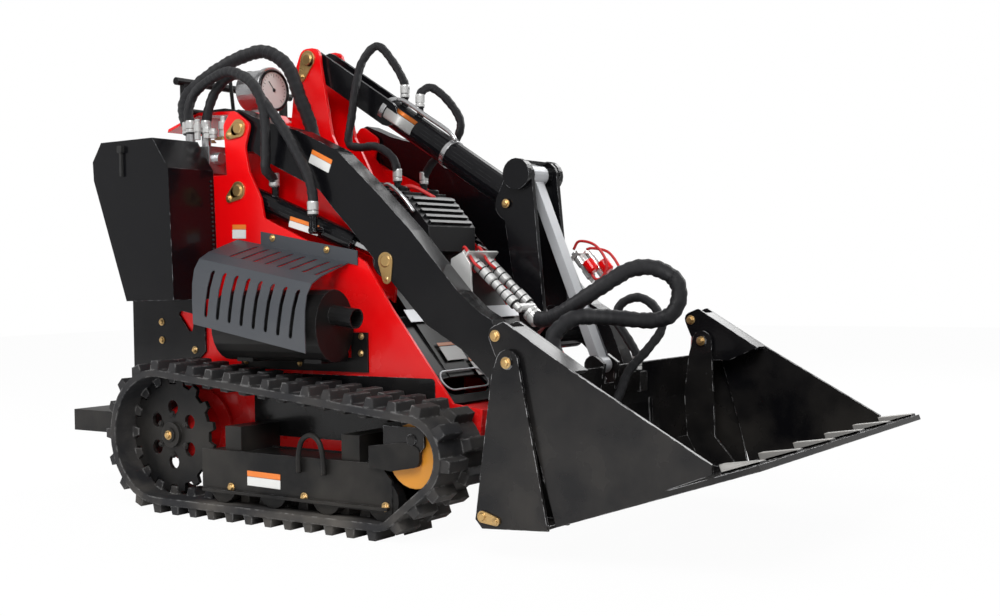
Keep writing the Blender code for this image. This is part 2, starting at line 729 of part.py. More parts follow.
def slanted_slot(place_xz, y_low, y_high, radius):
    """A rounded cutter through the slanted panel, between two y values."""
    outline = capsule((y_low, 0.0), (y_high, 0.0), radius, steps=4)
    mesh = flat(outline, -0.03, 0.03)
    tilt = atan2(EDGE_TOP[1] - EDGE_FOOT[1], EDGE_FOOT[0] - EDGE_TOP[0])
    centre = set_back(place_xz, PANEL_BACK)
    turn = Matrix(((0, sin(tilt), -cos(tilt), centre[0]), (1, 0, 0, 0), (0, cos(tilt), sin(tilt), centre[1]),
                   (0, 0, 0, 1)))
    mesh.transform(turn)
    if turn.determinant() < 0:
        mesh.flip_normals()
    return mesh


def build_engine():
    floor_top = FLOOR_Z + FLOOR_THICK + SEAT
    crank = block((0.240, -0.165, floor_top), (0.580, 0.165, 0.560))
    head = block((0.262, -0.140, 0.550), (0.575, 0.140, 0.780))
    fins = [block((0.272 + k * 0.040, -0.190, 0.600), (0.278 + k * 0.040, 0.190, 0.720)) for k in range(8)]
    shroud = flat([(0.400, 0.770), (0.413, 0.905), (0.588, 0.885), (0.668, 0.795), (0.668, 0.725), (0.560, 0.715)],
                  -0.110, 0.110)
    cleaner = cross_bar((0.545, 0.765), 0.055, -0.175, 0.175, 16)
    starter = cross_bar((0.590, 0.520), 0.040, -0.120, 0.060, 12)
    ports = [round_bar((x, y, 0.860), (x, y, 0.925), FITTING_R, 10) for x, y in ((0.520, -0.060), (0.500, 0.090))]
    place("engine", weld(crank, head, *fins, shroud, cleaner, starter, *ports), BLACK, ROOT)


def build_side_box(label, side):
    outline = [(-0.267, 1.004), (-0.228, 1.058), (-0.008, 1.058), (0.055, 0.970), (0.067, 0.600),
               (-0.131, 0.597), (-0.264, 0.950)]
    lower = [(-0.299, 0.640), (-0.299, 0.369), (-0.071, 0.376), (0.014, 0.446), (0.014, 0.640)]
    window = rounded([(-0.186, 0.583, 0.01), (-0.030, 0.555, 0.01), (-0.040, 0.490, 0.01), (-0.088, 0.545, 0.01)])
    box = flat(outline, *sided(side, WALL_Y + SEAT, 0.500))
    plate = flat(lower, *sided(side, WALL_Y + SEAT, WALL_Y + 0.007), holes=(window,))
    place(f"side_box_{label}", weld(box, plate), BLACK, ROOT)


def build_platform():
    reach = PLATFORM_HALF
    tread = block((PLATFORM_REAR, -reach, 0.184), (-0.400, reach, 0.250))
    legs = [block((-0.440, side * 0.20 - 0.030, 0.200), (-0.298 - SEAT, side * 0.20 + 0.030, 0.380))
            for _, side in SIDES]
    place("platform", weld(tread, *legs), BLACK, ROOT)


GUARD_FALL = 0.1745
GUARD_FOLD = (0.235, 0.754)
GUARD_PROFILE = ((0.000, 0.037), (0.000, 0.000), (0.055, -0.018), (0.110, -0.036), (0.145, -0.055),
                 (0.165, -0.085), (0.173, -0.125), (0.175, -0.175), (0.173, -0.235))
GUARD_START = 0.150
GUARD_END = 0.566
GUARD_SLOTS = 8
GUARD_SLOT_STEP = 0.0447
GUARD_SHEET = 0.003


def fold_z(x):
    """Height of the guard's upper fold at x."""
    return GUARD_FOLD[1] - GUARD_FALL * (x - GUARD_FOLD[0])


def guard_strip(profile, start, end):
    """A folded sheet: (out from the wall, z from the fold) points swept along the machine."""
    section = shell(profile, -GUARD_SHEET)
    shape = bmesh.new()
    ends = [[shape.verts.new((x, -WALL_Y - SEAT - y, fold_z(x) + z)) for y, z in section] for x in (start, end)]
    count = len(section)
    shape.faces.new(ends[0])
    shape.faces.new(ends[1][::-1])
    for i in range(count):
        k = (i + 1) % count
        shape.faces.new((ends[0][i], ends[0][k], ends[1][k], ends[1][i]))
    bmesh.ops.recalc_face_normals(shape, faces=shape.faces)
    mesh = bpy.data.meshes.new("guard_strip")
    shape.to_mesh(mesh)
    shape.free()
    return mesh


def upright(outline, z_low, z_high):
    """A column from an (x, y) outline between two z values."""
    mesh = flat(outline, z_low, z_high)
    mesh.transform(Matrix(((1, 0, 0, 0), (0, 0, 1, 0), (0, 1, 0, 0), (0, 0, 0, 1))))
    mesh.flip_normals()
    return mesh


def build_guard():
    profile = [(y + GUARD_SHEET, z) for y, z in GUARD_PROFILE]
    sheet = guard_strip([(0.001, 0.0), *profile[2:]], GUARD_START, GUARD_END)
    flange = guard_strip([(0.003, 0.036), (0.003, 0.018), (0.003, -0.003)], 0.243, 0.598)
    slots = []
    for k in range(GUARD_SLOTS):
        x = 0.234 + k * GUARD_SLOT_STEP
        slots.append(upright(capsule((x + 0.012, -WALL_Y - 0.022), (x, -WALL_Y - 0.108), 0.006, steps=4),
                             0.600, 0.800))
        top = 0.222 + k * GUARD_SLOT_STEP
        high = fold_z(top) - 0.082
        slots.append(flat(capsule((top, high), (top - 0.020, high - 0.115), 0.0065, steps=4),
                          -WALL_Y - 0.190, -WALL_Y - 0.130))
    mesh = weld(sheet, flange)
    place("exhaust_guard", cut(mesh, *slots), GREY, ROOT)


MUFFLER_Y = 0.412


def build_muffler():
    can = round_bar((0.200, 0.0, 0.0), (0.585, 0.0, 0.0), 0.096, 24)
    can.transform(Matrix.Translation((0.0, -MUFFLER_Y, 0.5285)) @ Matrix.Diagonal((1.0, 0.78, 1.0, 1.0)))
    outlet = round_bar((0.560, -MUFFLER_Y, 0.560), (0.660, -MUFFLER_Y, 0.548), 0.027, 16)
    bore = round_bar((0.600, -MUFFLER_Y, 0.5552), (0.680, -MUFFLER_Y, 0.5456), 0.0235, 16)
    near = -WALL_Y - SEAT
    strip = block((0.160, near - 0.006, 0.402), (0.630, near, 0.440))
    tab = block((0.574, near - 0.006, 0.430), (0.630, near, 0.508))
    cradle = [block((x, -0.440, 0.430), (x + 0.060, near - 0.002, 0.470)) for x in (0.250, 0.500)]
    place("muffler", cut(weld(can, outlet, strip, tab, *cradle), bore), BLACK, ROOT)


VALVE_FITTINGS = ((-0.100, -0.275), (-0.068, -0.300), (-0.036, -0.270), (-0.004, -0.298))


def build_console():
    body = block((-0.130, -SLOT_OUT + SEAT, 0.965), (0.030, -0.252, 1.045))
    spool = round_bar((-0.150, -0.285, 1.010), (0.044, -0.285, 1.010), 0.018, 12)
    fittings = [round_bar((x, y, 1.040), (x, y, 1.088), 0.013, 10) for x, y in VALVE_FITTINGS]
    place("control_valve", weld(body, spool, *fittings), STEEL, ROOT)


LEVER_Y = (-0.045, 0.045)


def on_hood(x_low, x_high, top, y_low, y_high):
    """A foot that follows the hood's slope."""
    return flat([(x_low, hood_z(x_low) + SEAT), (x_high, hood_z(x_high) + SEAT), (x_high, top), (x_low, top)],
                y_low, y_high)


def build_grab_bar():
    bar = round_bar((-0.185, -0.250, 1.262), (-0.185, 0.250, 1.262), 0.012, 12)
    posts = [on_hood(-0.195, -0.175, 1.262, *sided(side, 0.205, 0.225)) for _, side in SIDES]
    console = on_hood(-0.170, -0.110, 1.185, -0.120, 0.120)
    stems = [round_bar((-0.150, y, 1.178), (-0.165, y, 1.300), 0.006, 8) for y in LEVER_Y]
    knobs = [round_bar((-0.164, y, 1.294), (-0.168, y, 1.322), 0.013, 10) for y in LEVER_Y]
    bridge = round_bar((-0.178, -0.215, 1.172), (-0.178, 0.215, 1.172), 0.010, 10)
    place("grab_bar", weld(bar, *posts, console, bridge, *stems, *knobs), BLACK, ROOT)


GAUGE_CENTRE = (-0.100, 1.228)


def build_gauge():
    y, z = GAUGE_CENTRE
    drum = round_bar((-0.020, y, z), (0.070, y, z), 0.062, 24)
    rim = round_bar((0.062, y, z), (0.078, y, z), 0.067, 24)
    stand = on_hood(0.000, 0.050, 1.180, y - 0.020, y + 0.020)
    place("gauge_drum", weld(drum, rim, stand), SILVER, ROOT)


# Lift arm

def build_lift_arm(label, side):
    outline = [
        *arc(LIFT_PIN, ARM_HUB_R, 95, 265, 8),
        (0.200, 1.018), (0.259, 0.983), (0.344, 0.944), (0.449, 0.897), (0.503, 0.840), (0.557, 0.789),
        (0.721, 0.620), (0.813, 0.529), (0.925, 0.467), (1.009, 0.393),
        *arc(HITCH_PIN, 0.042, 190, 395, 7),
        *rounded([(1.018, 0.543), (0.972, 0.568), (0.917, 0.613), (0.763, 0.777), (0.645, 0.887),
                  (0.515, 1.000, 0.10), (0.374, 1.064), (0.244, 1.100)]),
    ]
    beam = flat(outline, *sided(side, ARM_IN, ARM_OUT), holes=(pin_hole(LIFT_PIN), pin_hole(HITCH_PIN)))
    lug = [*arc(LIFT_ROD_PIN, LUG_EYE_R, 150, 300, 7), (0.780, 0.650), (0.740, 0.740), (0.660, 0.790)]
    slot_end = along(LIFT_ROD_PIN, LIFT_BASE_PIN, 0.120)

    def slot():
        return flat(capsule(slot_end, LIFT_ROD_PIN, ROD_SLOT_R), *sided(side, ARM_IN + LUG_PLATE, ARM_OUT - LUG_PLATE))

    ear = flat(lug, *sided(side, ARM_IN, ARM_OUT))
    mesh = weld(cut(beam, slot()), cut(ear, slot()))
    place(f"lift_arm_{label}", mesh, BLACK, LIFT_AXIS)


COUPLER_TOP = (0.867, 0.718)
COUPLER_FOOT = (1.038, 0.567)
COUPLER_Y = (0.215, 0.150)
STEP_OVERLAP = 0.001
COUPLER_STEPS = ((0.000, 0.045, 0.011), (0.045, 0.120, 0.0145), (0.120, 0.165, 0.012), (0.165, 0.205, 0.0145),
                 (0.205, 0.228, 0.0105))


def build_cross_tube():
    reach = ARM_IN - SEAT
    tube = cross_bar(CROSS_TUBE, 0.030, -reach, reach, 20)
    lugs = [flat(capsule(CROSS_TUBE, ROCKER_PIN, 0.030, 0.032), *sided(side, 0.030, 0.050),
                 holes=(pin_hole(ROCKER_PIN),)) for _, side in SIDES]
    place("arm_cross_tube", weld(tube, *lugs), BLACK, LIFT_AXIS)


def build_couplers():
    """The pair of hydraulic couplers in its holder, against the inner face of the right arm."""
    holder = along(COUPLER_TOP, COUPLER_FOOT, 0.030)
    heading = radians(direction(COUPLER_TOP, COUPLER_FOOT))
    across = (-sin(heading), cos(heading))
    face = [(holder[0] + across[0] * a + cos(heading) * b, holder[1] + across[1] * a + sin(heading) * b)
            for a, b in ((-0.026, -0.003), (0.026, -0.003), (0.026, 0.003), (-0.026, 0.003))]
    plate = flat(face, *sided(-1, 0.120, ARM_IN - SEAT))
    bracket = flat([(0.845, 0.640), (0.850, 0.700), (holder[0], holder[1] + 0.020),
                    (holder[0] + 0.022, holder[1] - 0.014), (0.915, 0.600)],
                   *sided(-1, ARM_IN - 0.0063, ARM_IN - SEAT))
    bars = [bar_between(COUPLER_TOP, COUPLER_FOOT, start - STEP_OVERLAP, end, radius, -y, 12)
            for y in COUPLER_Y for start, end, radius in COUPLER_STEPS]
    x, z = along(COUPLER_TOP, COUPLER_FOOT, 0.222)
    bridge = round_bar((x, -COUPLER_Y[0], z), (x, -COUPLER_Y[1], z), 0.012, 12)
    place("couplers", weld(plate, bracket, *bars, bridge), STEEL, LIFT_AXIS)


SPACER_R = 0.028
SLEEVE_HITCH_R = 0.026


PIN_FITTINGS = (
    # name, pin, collars from, cap radius, cap length, carrier
    ("rocker_pin", ROCKER_PIN, 0.050 + SEAT, 0.024, 0.006, ROCKER_LEVEL_AXIS),
    ("link_pin", LINK_PIN, LINK_EYE_HALF + SEAT, 0.042, 0.017, LINK_LEVEL_AXIS),
)


def build_pins():
    for name, pin, bush_from, cap_radius, cap_length, carrier in PIN_FITTINGS:
        ends = ROCKER_HALF + cap_length
        bush_to = ROCKER_HALF - ROCKER_PLATE - SEAT
        collars = [cross_bar(pin, SPACER_R, *sided(side, bush_from, bush_to), 16) for _, side in SIDES]
        caps = [cross_bar(pin, cap_radius, *sided(side, ROCKER_HALF + SEAT, ends), 20) for _, side in SIDES]
        place(name, weld(cross_bar(pin, PIN_R, -ends, ends), *collars, *caps), ZINC, carrier)
    sleeve_half = ARM_IN - RUN - 0.016 - SEAT
    sleeve = cross_bar(HITCH_PIN, SLEEVE_HITCH_R, -sleeve_half, sleeve_half, 16)
    place("hitch_pin", weld(cross_bar(HITCH_PIN, PIN_R, -ARM_OUT - 0.004, ARM_OUT + 0.004), sleeve),
          ZINC, BUCKET_LEVEL_AXIS)


# Cylinders

def bar_between(start, end, first, last, radius, y, steps=20):
    """A round bar on the line between two pins, from one distance to another."""
    a = along(start, end, first)
    b = along(start, end, last)
    return round_bar((a[0], y, a[1]), (b[0], y, b[1]), radius, steps)


def build_lift_cylinder(label, side):
    y = side * ARM_Y
    length = span(LIFT_BASE_PIN, LIFT_ROD_PIN)
    eye = flat(circle(LIFT_BASE_PIN, LIFT_EYE_R), y - 0.016, y + 0.016, holes=(pin_hole(LIFT_BASE_PIN),))
    barrel = bar_between(LIFT_BASE_PIN, LIFT_ROD_PIN, 0.028, LIFT_BARREL_END, LIFT_BARREL_R, y)
    bore = bar_between(LIFT_BASE_PIN, LIFT_ROD_PIN, 0.090, LIFT_BARREL_END + 0.01, LIFT_ROD_R + BORE_FIT, y)
    base_port = along(LIFT_BASE_PIN, LIFT_ROD_PIN, 0.121)
    rod_port = along(LIFT_BASE_PIN, LIFT_ROD_PIN, 0.330)
    far = side * (ARM_Y + 0.058)
    ports = [round_bar((base_port[0], y, base_port[1]), (base_port[0], y, 0.915), FITTING_R, 10),
             round_bar((rod_port[0], y, rod_port[1]), (rod_port[0], far + side * 0.010, rod_port[1]), FITTING_R, 10),
             round_bar((rod_port[0], far, rod_port[1] - 0.004), (rod_port[0], far, 0.825), FITTING_R + 0.002, 10)]
    place(f"lift_barrel_{label}", cut(weld(eye, barrel, *ports), bore), BLACK, LIFT_BARREL_AXIS)
    rod_eye = flat(circle(LIFT_ROD_PIN, 0.028), y - 0.013, y + 0.013)
    rod = bar_between(LIFT_BASE_PIN, LIFT_ROD_PIN, 0.100, length - 0.015, LIFT_ROD_R, y)
    place(f"lift_rod_{label}", weld(rod_eye, rod), STEEL, LIFT_ROD_AXIS)


def build_tilt_cylinder():
    length = span(TILT_PIN, ROD_PIN)
    yoke_tip = along(TILT_PIN, ROD_PIN, YOKE_END)
    plates = [flat(capsule(TILT_PIN, yoke_tip, 0.036), *sided(side, YOKE_HALF - YOKE_PLATE, YOKE_HALF),
                   holes=(pin_hole(TILT_PIN),)) for _, side in SIDES]
    barrel = bar_between(TILT_PIN, ROD_PIN, YOKE_END - 0.03, TILT_BARREL_END, TILT_BARREL_R, 0.0, 24)
    bore = bar_between(TILT_PIN, ROD_PIN, YOKE_END + 0.05, TILT_BARREL_END + 0.01, TILT_ROD_R + BORE_FIT, 0.0)
    ports = [round_bar((x, 0.0, z - 0.060), (x, 0.0, z), FITTING_R, 10) for x, z in ((0.505, 1.172), (0.560, 1.140))]
    place("tilt_barrel", cut(weld(barrel, *plates, *ports), bore), BLACK, TILT_BARREL_AXIS)
    eye = flat(circle(ROD_PIN, TILT_EYE_R, 20), -0.022, 0.022)
    rod = bar_between(TILT_PIN, ROD_PIN, YOKE_END + 0.06, length - 0.01, TILT_ROD_R, 0.0)
    place("tilt_rod", weld(eye, rod), STEEL, TILT_ROD_AXIS)


def build_rocker():
    outline = [*arc(LINK_PIN, 0.040, -10, 130, 6), *arc(ROD_PIN, 0.045, 140, 250, 6),
               *arc(ROCKER_PIN, 0.040, 190, 350, 6)]
    plates = [flat(outline, *sided(side, ROCKER_HALF - ROCKER_PLATE, ROCKER_HALF),
                   holes=(pin_hole(LINK_PIN), pin_hole(ROCKER_PIN))) for _, side in SIDES]
    tie = block((LINK_PIN[0] - 0.010, -ROCKER_HALF + 0.002, LINK_PIN[1] + 0.030),
                (LINK_PIN[0] + 0.012, ROCKER_HALF - 0.002, LINK_PIN[1] + 0.038))
    place("rocker", weld(tie, *plates), BLACK, ROCKER_AXIS)


def build_link():
    bar = flat(capsule(LINK_PIN, BUCKET_TOP_PIN, LINK_BAR_THICK / 2), -LINK_BAR_WIDTH / 2, LINK_BAR_WIDTH / 2)
    top = cross_bar(LINK_PIN, LINK_EYE_R, -LINK_EYE_HALF, LINK_EYE_HALF, 20)
    foot = cross_bar(BUCKET_TOP_PIN, 0.022, -LINK_BAR_WIDTH / 2, LINK_BAR_WIDTH / 2, 20)
    hole = flat(pin_hole(LINK_PIN), -0.1, 0.1)
    place("bucket_link", cut(weld(bar, top, foot), hole), SILVER, LINK_AXIS)


# Clam bucket

BACK_LINE = [(1.180, 0.412), (1.165, 0.300), (1.172, 0.180), (1.215, 0.102), (1.245, 0.094)]
HEEL_LINE = [(1.200, 0.0835), (1.328, 0.0860), (1.328, 0.0940), (1.205, 0.0960)]


def shell(line, thickness):
    """A closed strip outline: a line and its copy set off to the left."""
    left = []
    for i, point in enumerate(line):
        before = Vector(line[max(i - 1, 0)])
        after = Vector(line[min(i + 1, len(line) - 1)])
        step = (after - before).normalized()
        left.append((point[0] - step.y * thickness, point[1] + step.x * thickness))
    return list(line) + left[::-1]


END_PLATE_OUT = BUCKET_HALF - SIDE_PLATE - 2 * RUN - 2 * SIDE_PLATE - CLAM_SLOT
CHEEK_OUT = BUCKET_HALF - SIDE_PLATE - RUN
CHEEK_IN = CHEEK_OUT - SIDE_PLATE - CLAM_SLOT - SIDE_PLATE
CLAM_Y = CHEEK_OUT - SIDE_PLATE - CLAM_SLOT / 2


def build_bucket_back():
    wall = flat(shell(BACK_LINE, -WALL_PLATE), -END_PLATE_OUT + 0.002, END_PLATE_OUT - 0.002)
    notch = block((1.150, -LINK_NOTCH_HALF, LINK_NOTCH_Z), (1.200, LINK_NOTCH_HALF, 0.450))
    wall = cut(wall, notch)
    heel = flat(HEEL_LINE, -BUCKET_HALF + 0.002, BUCKET_HALF - 0.002)
    side_outline = [*arc(CLAM_PIN, 0.030, 0, 160, 8), (1.178, 0.424), (1.127, 0.092), (1.146, 0.0715),
                    (1.325, 0.0815)]
    end_outline = [*arc(CLAM_PIN, 0.030, 0, 180, 8), (1.176, 0.400), (1.127, 0.092), (1.146, 0.0715),
                   (1.325, 0.0815), (1.330, 0.100), (1.260, 0.180)]
    pieces = []
    for _, side in SIDES:
        pieces.append(flat(side_outline, *sided(side, BUCKET_HALF - SIDE_PLATE, BUCKET_HALF)))
        pieces.append(flat(end_outline, *sided(side, END_PLATE_OUT - SIDE_PLATE, END_PLATE_OUT)))
        for pin in (CLAM_PIN, CLAM_FOOT_PIN):
            pieces.append(cross_bar(pin, PIN_R, *sided(side, END_PLATE_OUT - SIDE_PLATE - 0.005, BUCKET_HALF + 0.004)))
    lugs = [flat([*arc(BUCKET_TOP_PIN, 0.028, 90, 240, 6), (1.172, 0.350), (1.183, 0.420)],
                 *sided(side, 0.030, 0.042)) for _, side in SIDES]
    hitch = [flat([*arc(HITCH_PIN, 0.036, 100, 260, 6), (1.172, 0.190), (1.168, 0.310)],
                  *sided(side, ARM_IN - RUN - 0.016, ARM_IN - RUN), holes=(pin_hole(HITCH_PIN),))
             for _, side in SIDES]
    ports = [block(*corners) for corners in HOSE_PORTS]
    place("bucket_back", weld(wall, heel, *pieces, *lugs, *hitch, *ports), BLACK, BUCKET_AXIS)


BAR_COUNT = 6
BAR_STEP = 0.200


def build_clam():
    floor_line = [(1.345, 0.092), BLADE_TIP]
    floor = flat(shell(floor_line, BLADE_THICK), -CHEEK_OUT, CHEEK_OUT)
    cheek = rounded([(1.2045, 0.549, 0.01), (1.388, 0.439), (1.719, 0.256), (1.719, 0.235), (1.338, 0.090),
                     (1.250, 0.400), (1.180, 0.470, 0.02), (1.155, 0.530, 0.02)])
    ear = rounded([(1.2045, 0.549, 0.01), (1.388, 0.439), (1.300, 0.400), (1.250, 0.400),
                   (1.180, 0.470, 0.02), (1.155, 0.530, 0.02)])
    strip = [(1.225, 0.5365), (1.386, 0.440), (1.382, 0.433), (1.221, 0.5295)]
    holes = (pin_hole(CLAM_PIN),)
    pieces = []
    for _, side in SIDES:
        pieces.append(flat(cheek, *sided(side, CHEEK_OUT - SIDE_PLATE, CHEEK_OUT), holes=holes))
        pieces.append(flat(ear, *sided(side, CHEEK_IN, CHEEK_IN + SIDE_PLATE), holes=holes))
        pieces.append(flat(strip, *sided(side, CHEEK_IN + 0.001, CHEEK_OUT - 0.001)))
    rise = radians(direction(*floor_line))
    for k in range(BAR_COUNT):
        y = (k - (BAR_COUNT - 1) / 2) * BAR_STEP
        start = along(BLADE_TIP, floor_line[0], 0.096)
        lift = BLADE_THICK - 0.002
        bar = [(start[0] - sin(rise) * lift, start[1] + cos(rise) * lift),
               (BLADE_TIP[0] - 0.004 * cos(rise) - sin(rise) * lift, BLADE_TIP[1] - 0.004 * sin(rise) + cos(rise) * lift)]
        pieces.append(flat(shell(bar, 0.008), y - 0.016, y + 0.016))
    place("bucket_clam", weld(floor, *pieces), BLACK, CLAM_AXIS)


def build_clam_cylinder(label, side):
    y = side * CLAM_Y
    length = span(CLAM_FOOT_PIN, CLAM_TOP_PIN)
    eye = flat(circle(CLAM_FOOT_PIN, CLAM_EYE_R), y - 0.010, y + 0.010, holes=(pin_hole(CLAM_FOOT_PIN),))
    barrel = bar_between(CLAM_FOOT_PIN, CLAM_TOP_PIN, 0.018, 0.300, CLAM_BARREL_R, y)
    bore = bar_between(CLAM_FOOT_PIN, CLAM_TOP_PIN, 0.060, 0.310, CLAM_ROD_R + BORE_FIT, y)
    place(f"clam_barrel_{label}", cut(weld(eye, barrel), bore), BLACK, CLAM_BARREL_AXIS)
    rod_eye = flat(circle(CLAM_TOP_PIN, CLAM_EYE_R), y - 0.010, y + 0.010)
    rod = bar_between(CLAM_FOOT_PIN, CLAM_TOP_PIN, 0.150, length - 0.010, CLAM_ROD_R, y)
    place(f"clam_rod_{label}", weld(rod_eye, rod), STEEL, CLAM_ROD_AXIS)


# Hoses: (radius, route) of each, from port to port
LIFT_HOSES = (
    (SLEEVE_R, ((-0.100, -0.275, 1.0885), (-0.100, -0.275, 1.105), (-0.135, -0.262, 1.160), (-0.143, -0.240, 1.214),
                (-0.092, -0.205, 1.270), (-0.031, -0.185, 1.304), (0.030, -0.170, 1.325), (0.103, -0.155, 1.331),
                (0.180, -0.145, 1.281), (0.217, -0.135, 1.190), (0.248, -0.125, 1.107), (0.262, -0.120, 1.035),
                (0.262, -0.120, 1.005), (0.262, -0.120, 0.9855))),
    (HOSE_R, ((-0.068, -0.300, 1.0885), (-0.068, -0.300, 1.105), (-0.080, -0.297, 1.155), (-0.062, -0.290, 1.206),
              (0.002, -0.290, 1.240), (0.120, -0.318, 1.252), (0.240, -0.347, 1.200), (0.277, -0.350, 1.137),
              (0.286, -0.350, 1.080), (0.278, -0.343, 1.000), (0.270, -0.334, 0.960), (0.256, -0.288, 0.936),
              (0.256, -0.288, 0.9155))),
    (HOSE_R, ((-0.036, -0.270, 1.0885), (-0.036, -0.270, 1.105), (-0.030, -0.264, 1.160), (0.000, -0.260, 1.215),
              (0.064, -0.262, 1.250), (0.166, -0.300, 1.232), (0.261, -0.337, 1.160), (0.338, -0.342, 1.079),
              (0.395, -0.342, 1.000), (0.437, -0.342, 0.930), (0.451, -0.342, 0.880), (0.451, -0.342, 0.845),
              (0.451, -0.342, 0.8255))),
)
TILT_HOSES = (
    (0.012, ((0.520, -0.060, 0.9255), (0.520, -0.060, 0.945), (0.512, -0.070, 0.995), (0.462, -0.082, 1.030),
             (0.400, -0.085, 1.032), (0.360, -0.085, 1.050), (0.372, -0.082, 1.128), (0.384, -0.077, 1.210),
             (0.398, -0.060, 1.285), (0.439, -0.040, 1.326), (0.480, -0.018, 1.275), (0.505, 0.000, 1.215),
             (0.505, 0.000, 1.192), (0.505, 0.000, 1.1725))),
    (0.012, ((0.500, 0.090, 0.9255), (0.500, 0.090, 0.945), (0.530, 0.092, 0.990), (0.610, 0.090, 1.040),
             (0.645, 0.080, 1.098), (0.618, 0.060, 1.160), (0.580, 0.030, 1.200), (0.560, 0.005, 1.185),
             (0.560, 0.000, 1.160), (0.560, 0.000, 1.1405))),
)
BUCKET_HOSES = (
    (SLEEVE_R, ((1.0434, -0.182, 0.5622), (1.056, -0.182, 0.551), (1.095, -0.190, 0.540), (1.157, -0.200, 0.560),
                (1.227, -0.200, 0.599), (1.290, -0.190, 0.637), (1.336, -0.170, 0.664), (1.388, -0.150, 0.667),
                (1.429, -0.120, 0.639), (1.436, -0.110, 0.596), (1.414, -0.110, 0.553), (1.363, -0.120, 0.537),
                (1.278, -0.170, 0.546), (1.228, -0.240, 0.549), (1.200, -0.270, 0.530), (1.184, -0.290, 0.500),
                (1.196, -0.300, 0.450), (1.205, -0.300, 0.415), (1.205, -0.300, 0.3930))),
)
HOSE_PORTS = (((1.174, -0.328, 0.340), (1.230, -0.272, 0.3925)), ((1.176, 0.080, 0.340), (1.222, 0.120, 0.3925)),
              ((1.162, -0.065, 0.280), (1.190, -0.025, 0.320)))


def build_hoses():
    """Hoses of one group hang together by the clip that holds them near their ports."""
    clips = {"lift_hoses": [block((-0.118, -0.304, 1.112), (-0.028, -0.264, 1.124))],
             "tilt_hoses": [block((0.500, -0.062, 0.948), (0.522, 0.092, 0.958))], "bucket_hoses": []}
    for name, hoses in (("lift_hoses", LIFT_HOSES), ("tilt_hoses", TILT_HOSES), ("bucket_hoses", BUCKET_HOSES)):
        runs = [pipe(route, radius, HOSE_SPACING) for radius, route in hoses]
        place(name, weld(*runs, *clips[name]), HOSE, LIFT_AXIS if name == "bucket_hoses" else ROOT)


build_chassis()
build_hood()
build_centre_tower()
build_front_panel()
build_engine()
build_platform()
build_guard()
build_muffler()
build_console()
build_cross_tube()
build_pins()
build_tilt_cylinder()
build_rocker()
build_link()
build_bucket_back()
build_clam()
build_grab_bar()
build_gauge()
build_couplers()
build_hoses()
for side_name, side_sign in SIDES:
    build_track(side_name, side_sign)
    build_sprocket(side_name, side_sign)
    build_idler(side_name, side_sign)
    build_track_frame(side_name, side_sign)
    build_side_box(side_name, side_sign)
    build_lift_arm(side_name, side_sign)
    build_lift_cylinder(side_name, side_sign)
    build_clam_cylinder(side_name, side_sign)
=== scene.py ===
from math import atan2, ceil, cos, degrees, pi, radians, sin

import bmesh
import bpy
from mathutils import Matrix, Vector

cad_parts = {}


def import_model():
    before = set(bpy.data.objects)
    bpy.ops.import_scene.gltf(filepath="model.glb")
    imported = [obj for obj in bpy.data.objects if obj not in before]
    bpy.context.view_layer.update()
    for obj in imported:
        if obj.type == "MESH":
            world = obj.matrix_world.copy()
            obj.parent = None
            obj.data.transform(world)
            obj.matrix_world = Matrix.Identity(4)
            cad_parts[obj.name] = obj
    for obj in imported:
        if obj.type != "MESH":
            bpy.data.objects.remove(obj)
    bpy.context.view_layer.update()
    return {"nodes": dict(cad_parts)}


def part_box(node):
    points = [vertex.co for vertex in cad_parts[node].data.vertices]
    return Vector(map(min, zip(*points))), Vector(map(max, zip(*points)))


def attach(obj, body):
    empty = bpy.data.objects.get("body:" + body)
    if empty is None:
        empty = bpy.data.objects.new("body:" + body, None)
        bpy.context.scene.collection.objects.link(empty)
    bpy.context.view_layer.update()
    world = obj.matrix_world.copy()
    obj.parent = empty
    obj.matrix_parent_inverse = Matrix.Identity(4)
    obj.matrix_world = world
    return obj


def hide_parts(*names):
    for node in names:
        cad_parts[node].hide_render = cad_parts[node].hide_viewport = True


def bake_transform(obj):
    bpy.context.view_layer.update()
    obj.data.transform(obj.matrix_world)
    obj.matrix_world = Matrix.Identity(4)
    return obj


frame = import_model()
nodes = frame["nodes"]

# Lengths along the machine start at the sprocket's axle; MIDDLE is half way along the whole machine
MIDDLE = 0.6135
SIDES = ((-1, "right"), (1, "left"))

# Faces, by their distance from the middle plane
WALL = 0.330
ARM_SIDE = 0.314
TOWER_SIDE = 0.057
LIFT_BARREL_SIDE = 0.3125
TRACK_FRAME_SIDE = 0.4925
HUB_SIDE = 0.4525
CHEEK_SIDE = 0.5532
CLAM_CHEEK_SIDE = 0.5352
CLAM_EAR_SIDE = 0.4688
END_PLATE_SIDE = 0.463
INNER_HINGE_SIDE = END_PLATE_SIDE - 0.013
HEEL_PIN_SIDE = 0.5493

# Pins and bolts seen from the side, as (x, z), and the height of the sprocket's axle
LIFT_PIN = (0.163, 1.085)
LIFT_BASE_PIN = (0.157, 0.908)
LIFT_ROD_PIN = (0.680, 0.697)
TILT_PIN = (0.182, 1.312)
HINGE_BOLT = (1.222, 0.456)
CLAM_BOLT = (1.181, 0.516)
SPROCKET_Z = 0.215

# Slanted front panel and tilt cylinder, each from one end to the other as (x, z)
PANEL_FOOT = (0.905, 0.330)
PANEL_TOP = (0.709, 0.575)
PANEL_DEPTH = 0.022
TILT_REAR = (0.190, 1.305)
TILT_FRONT = (0.911, 0.847)
TILT_BARREL_R = 0.040

# Front edge of the clam's floor, the floor's rear end, and the height of the blade's top above the edge
BLADE_TIP = (1.827, 0.250)
FLOOR_REAR = (1.345, 0.092)
BLADE_TOP = 0.020


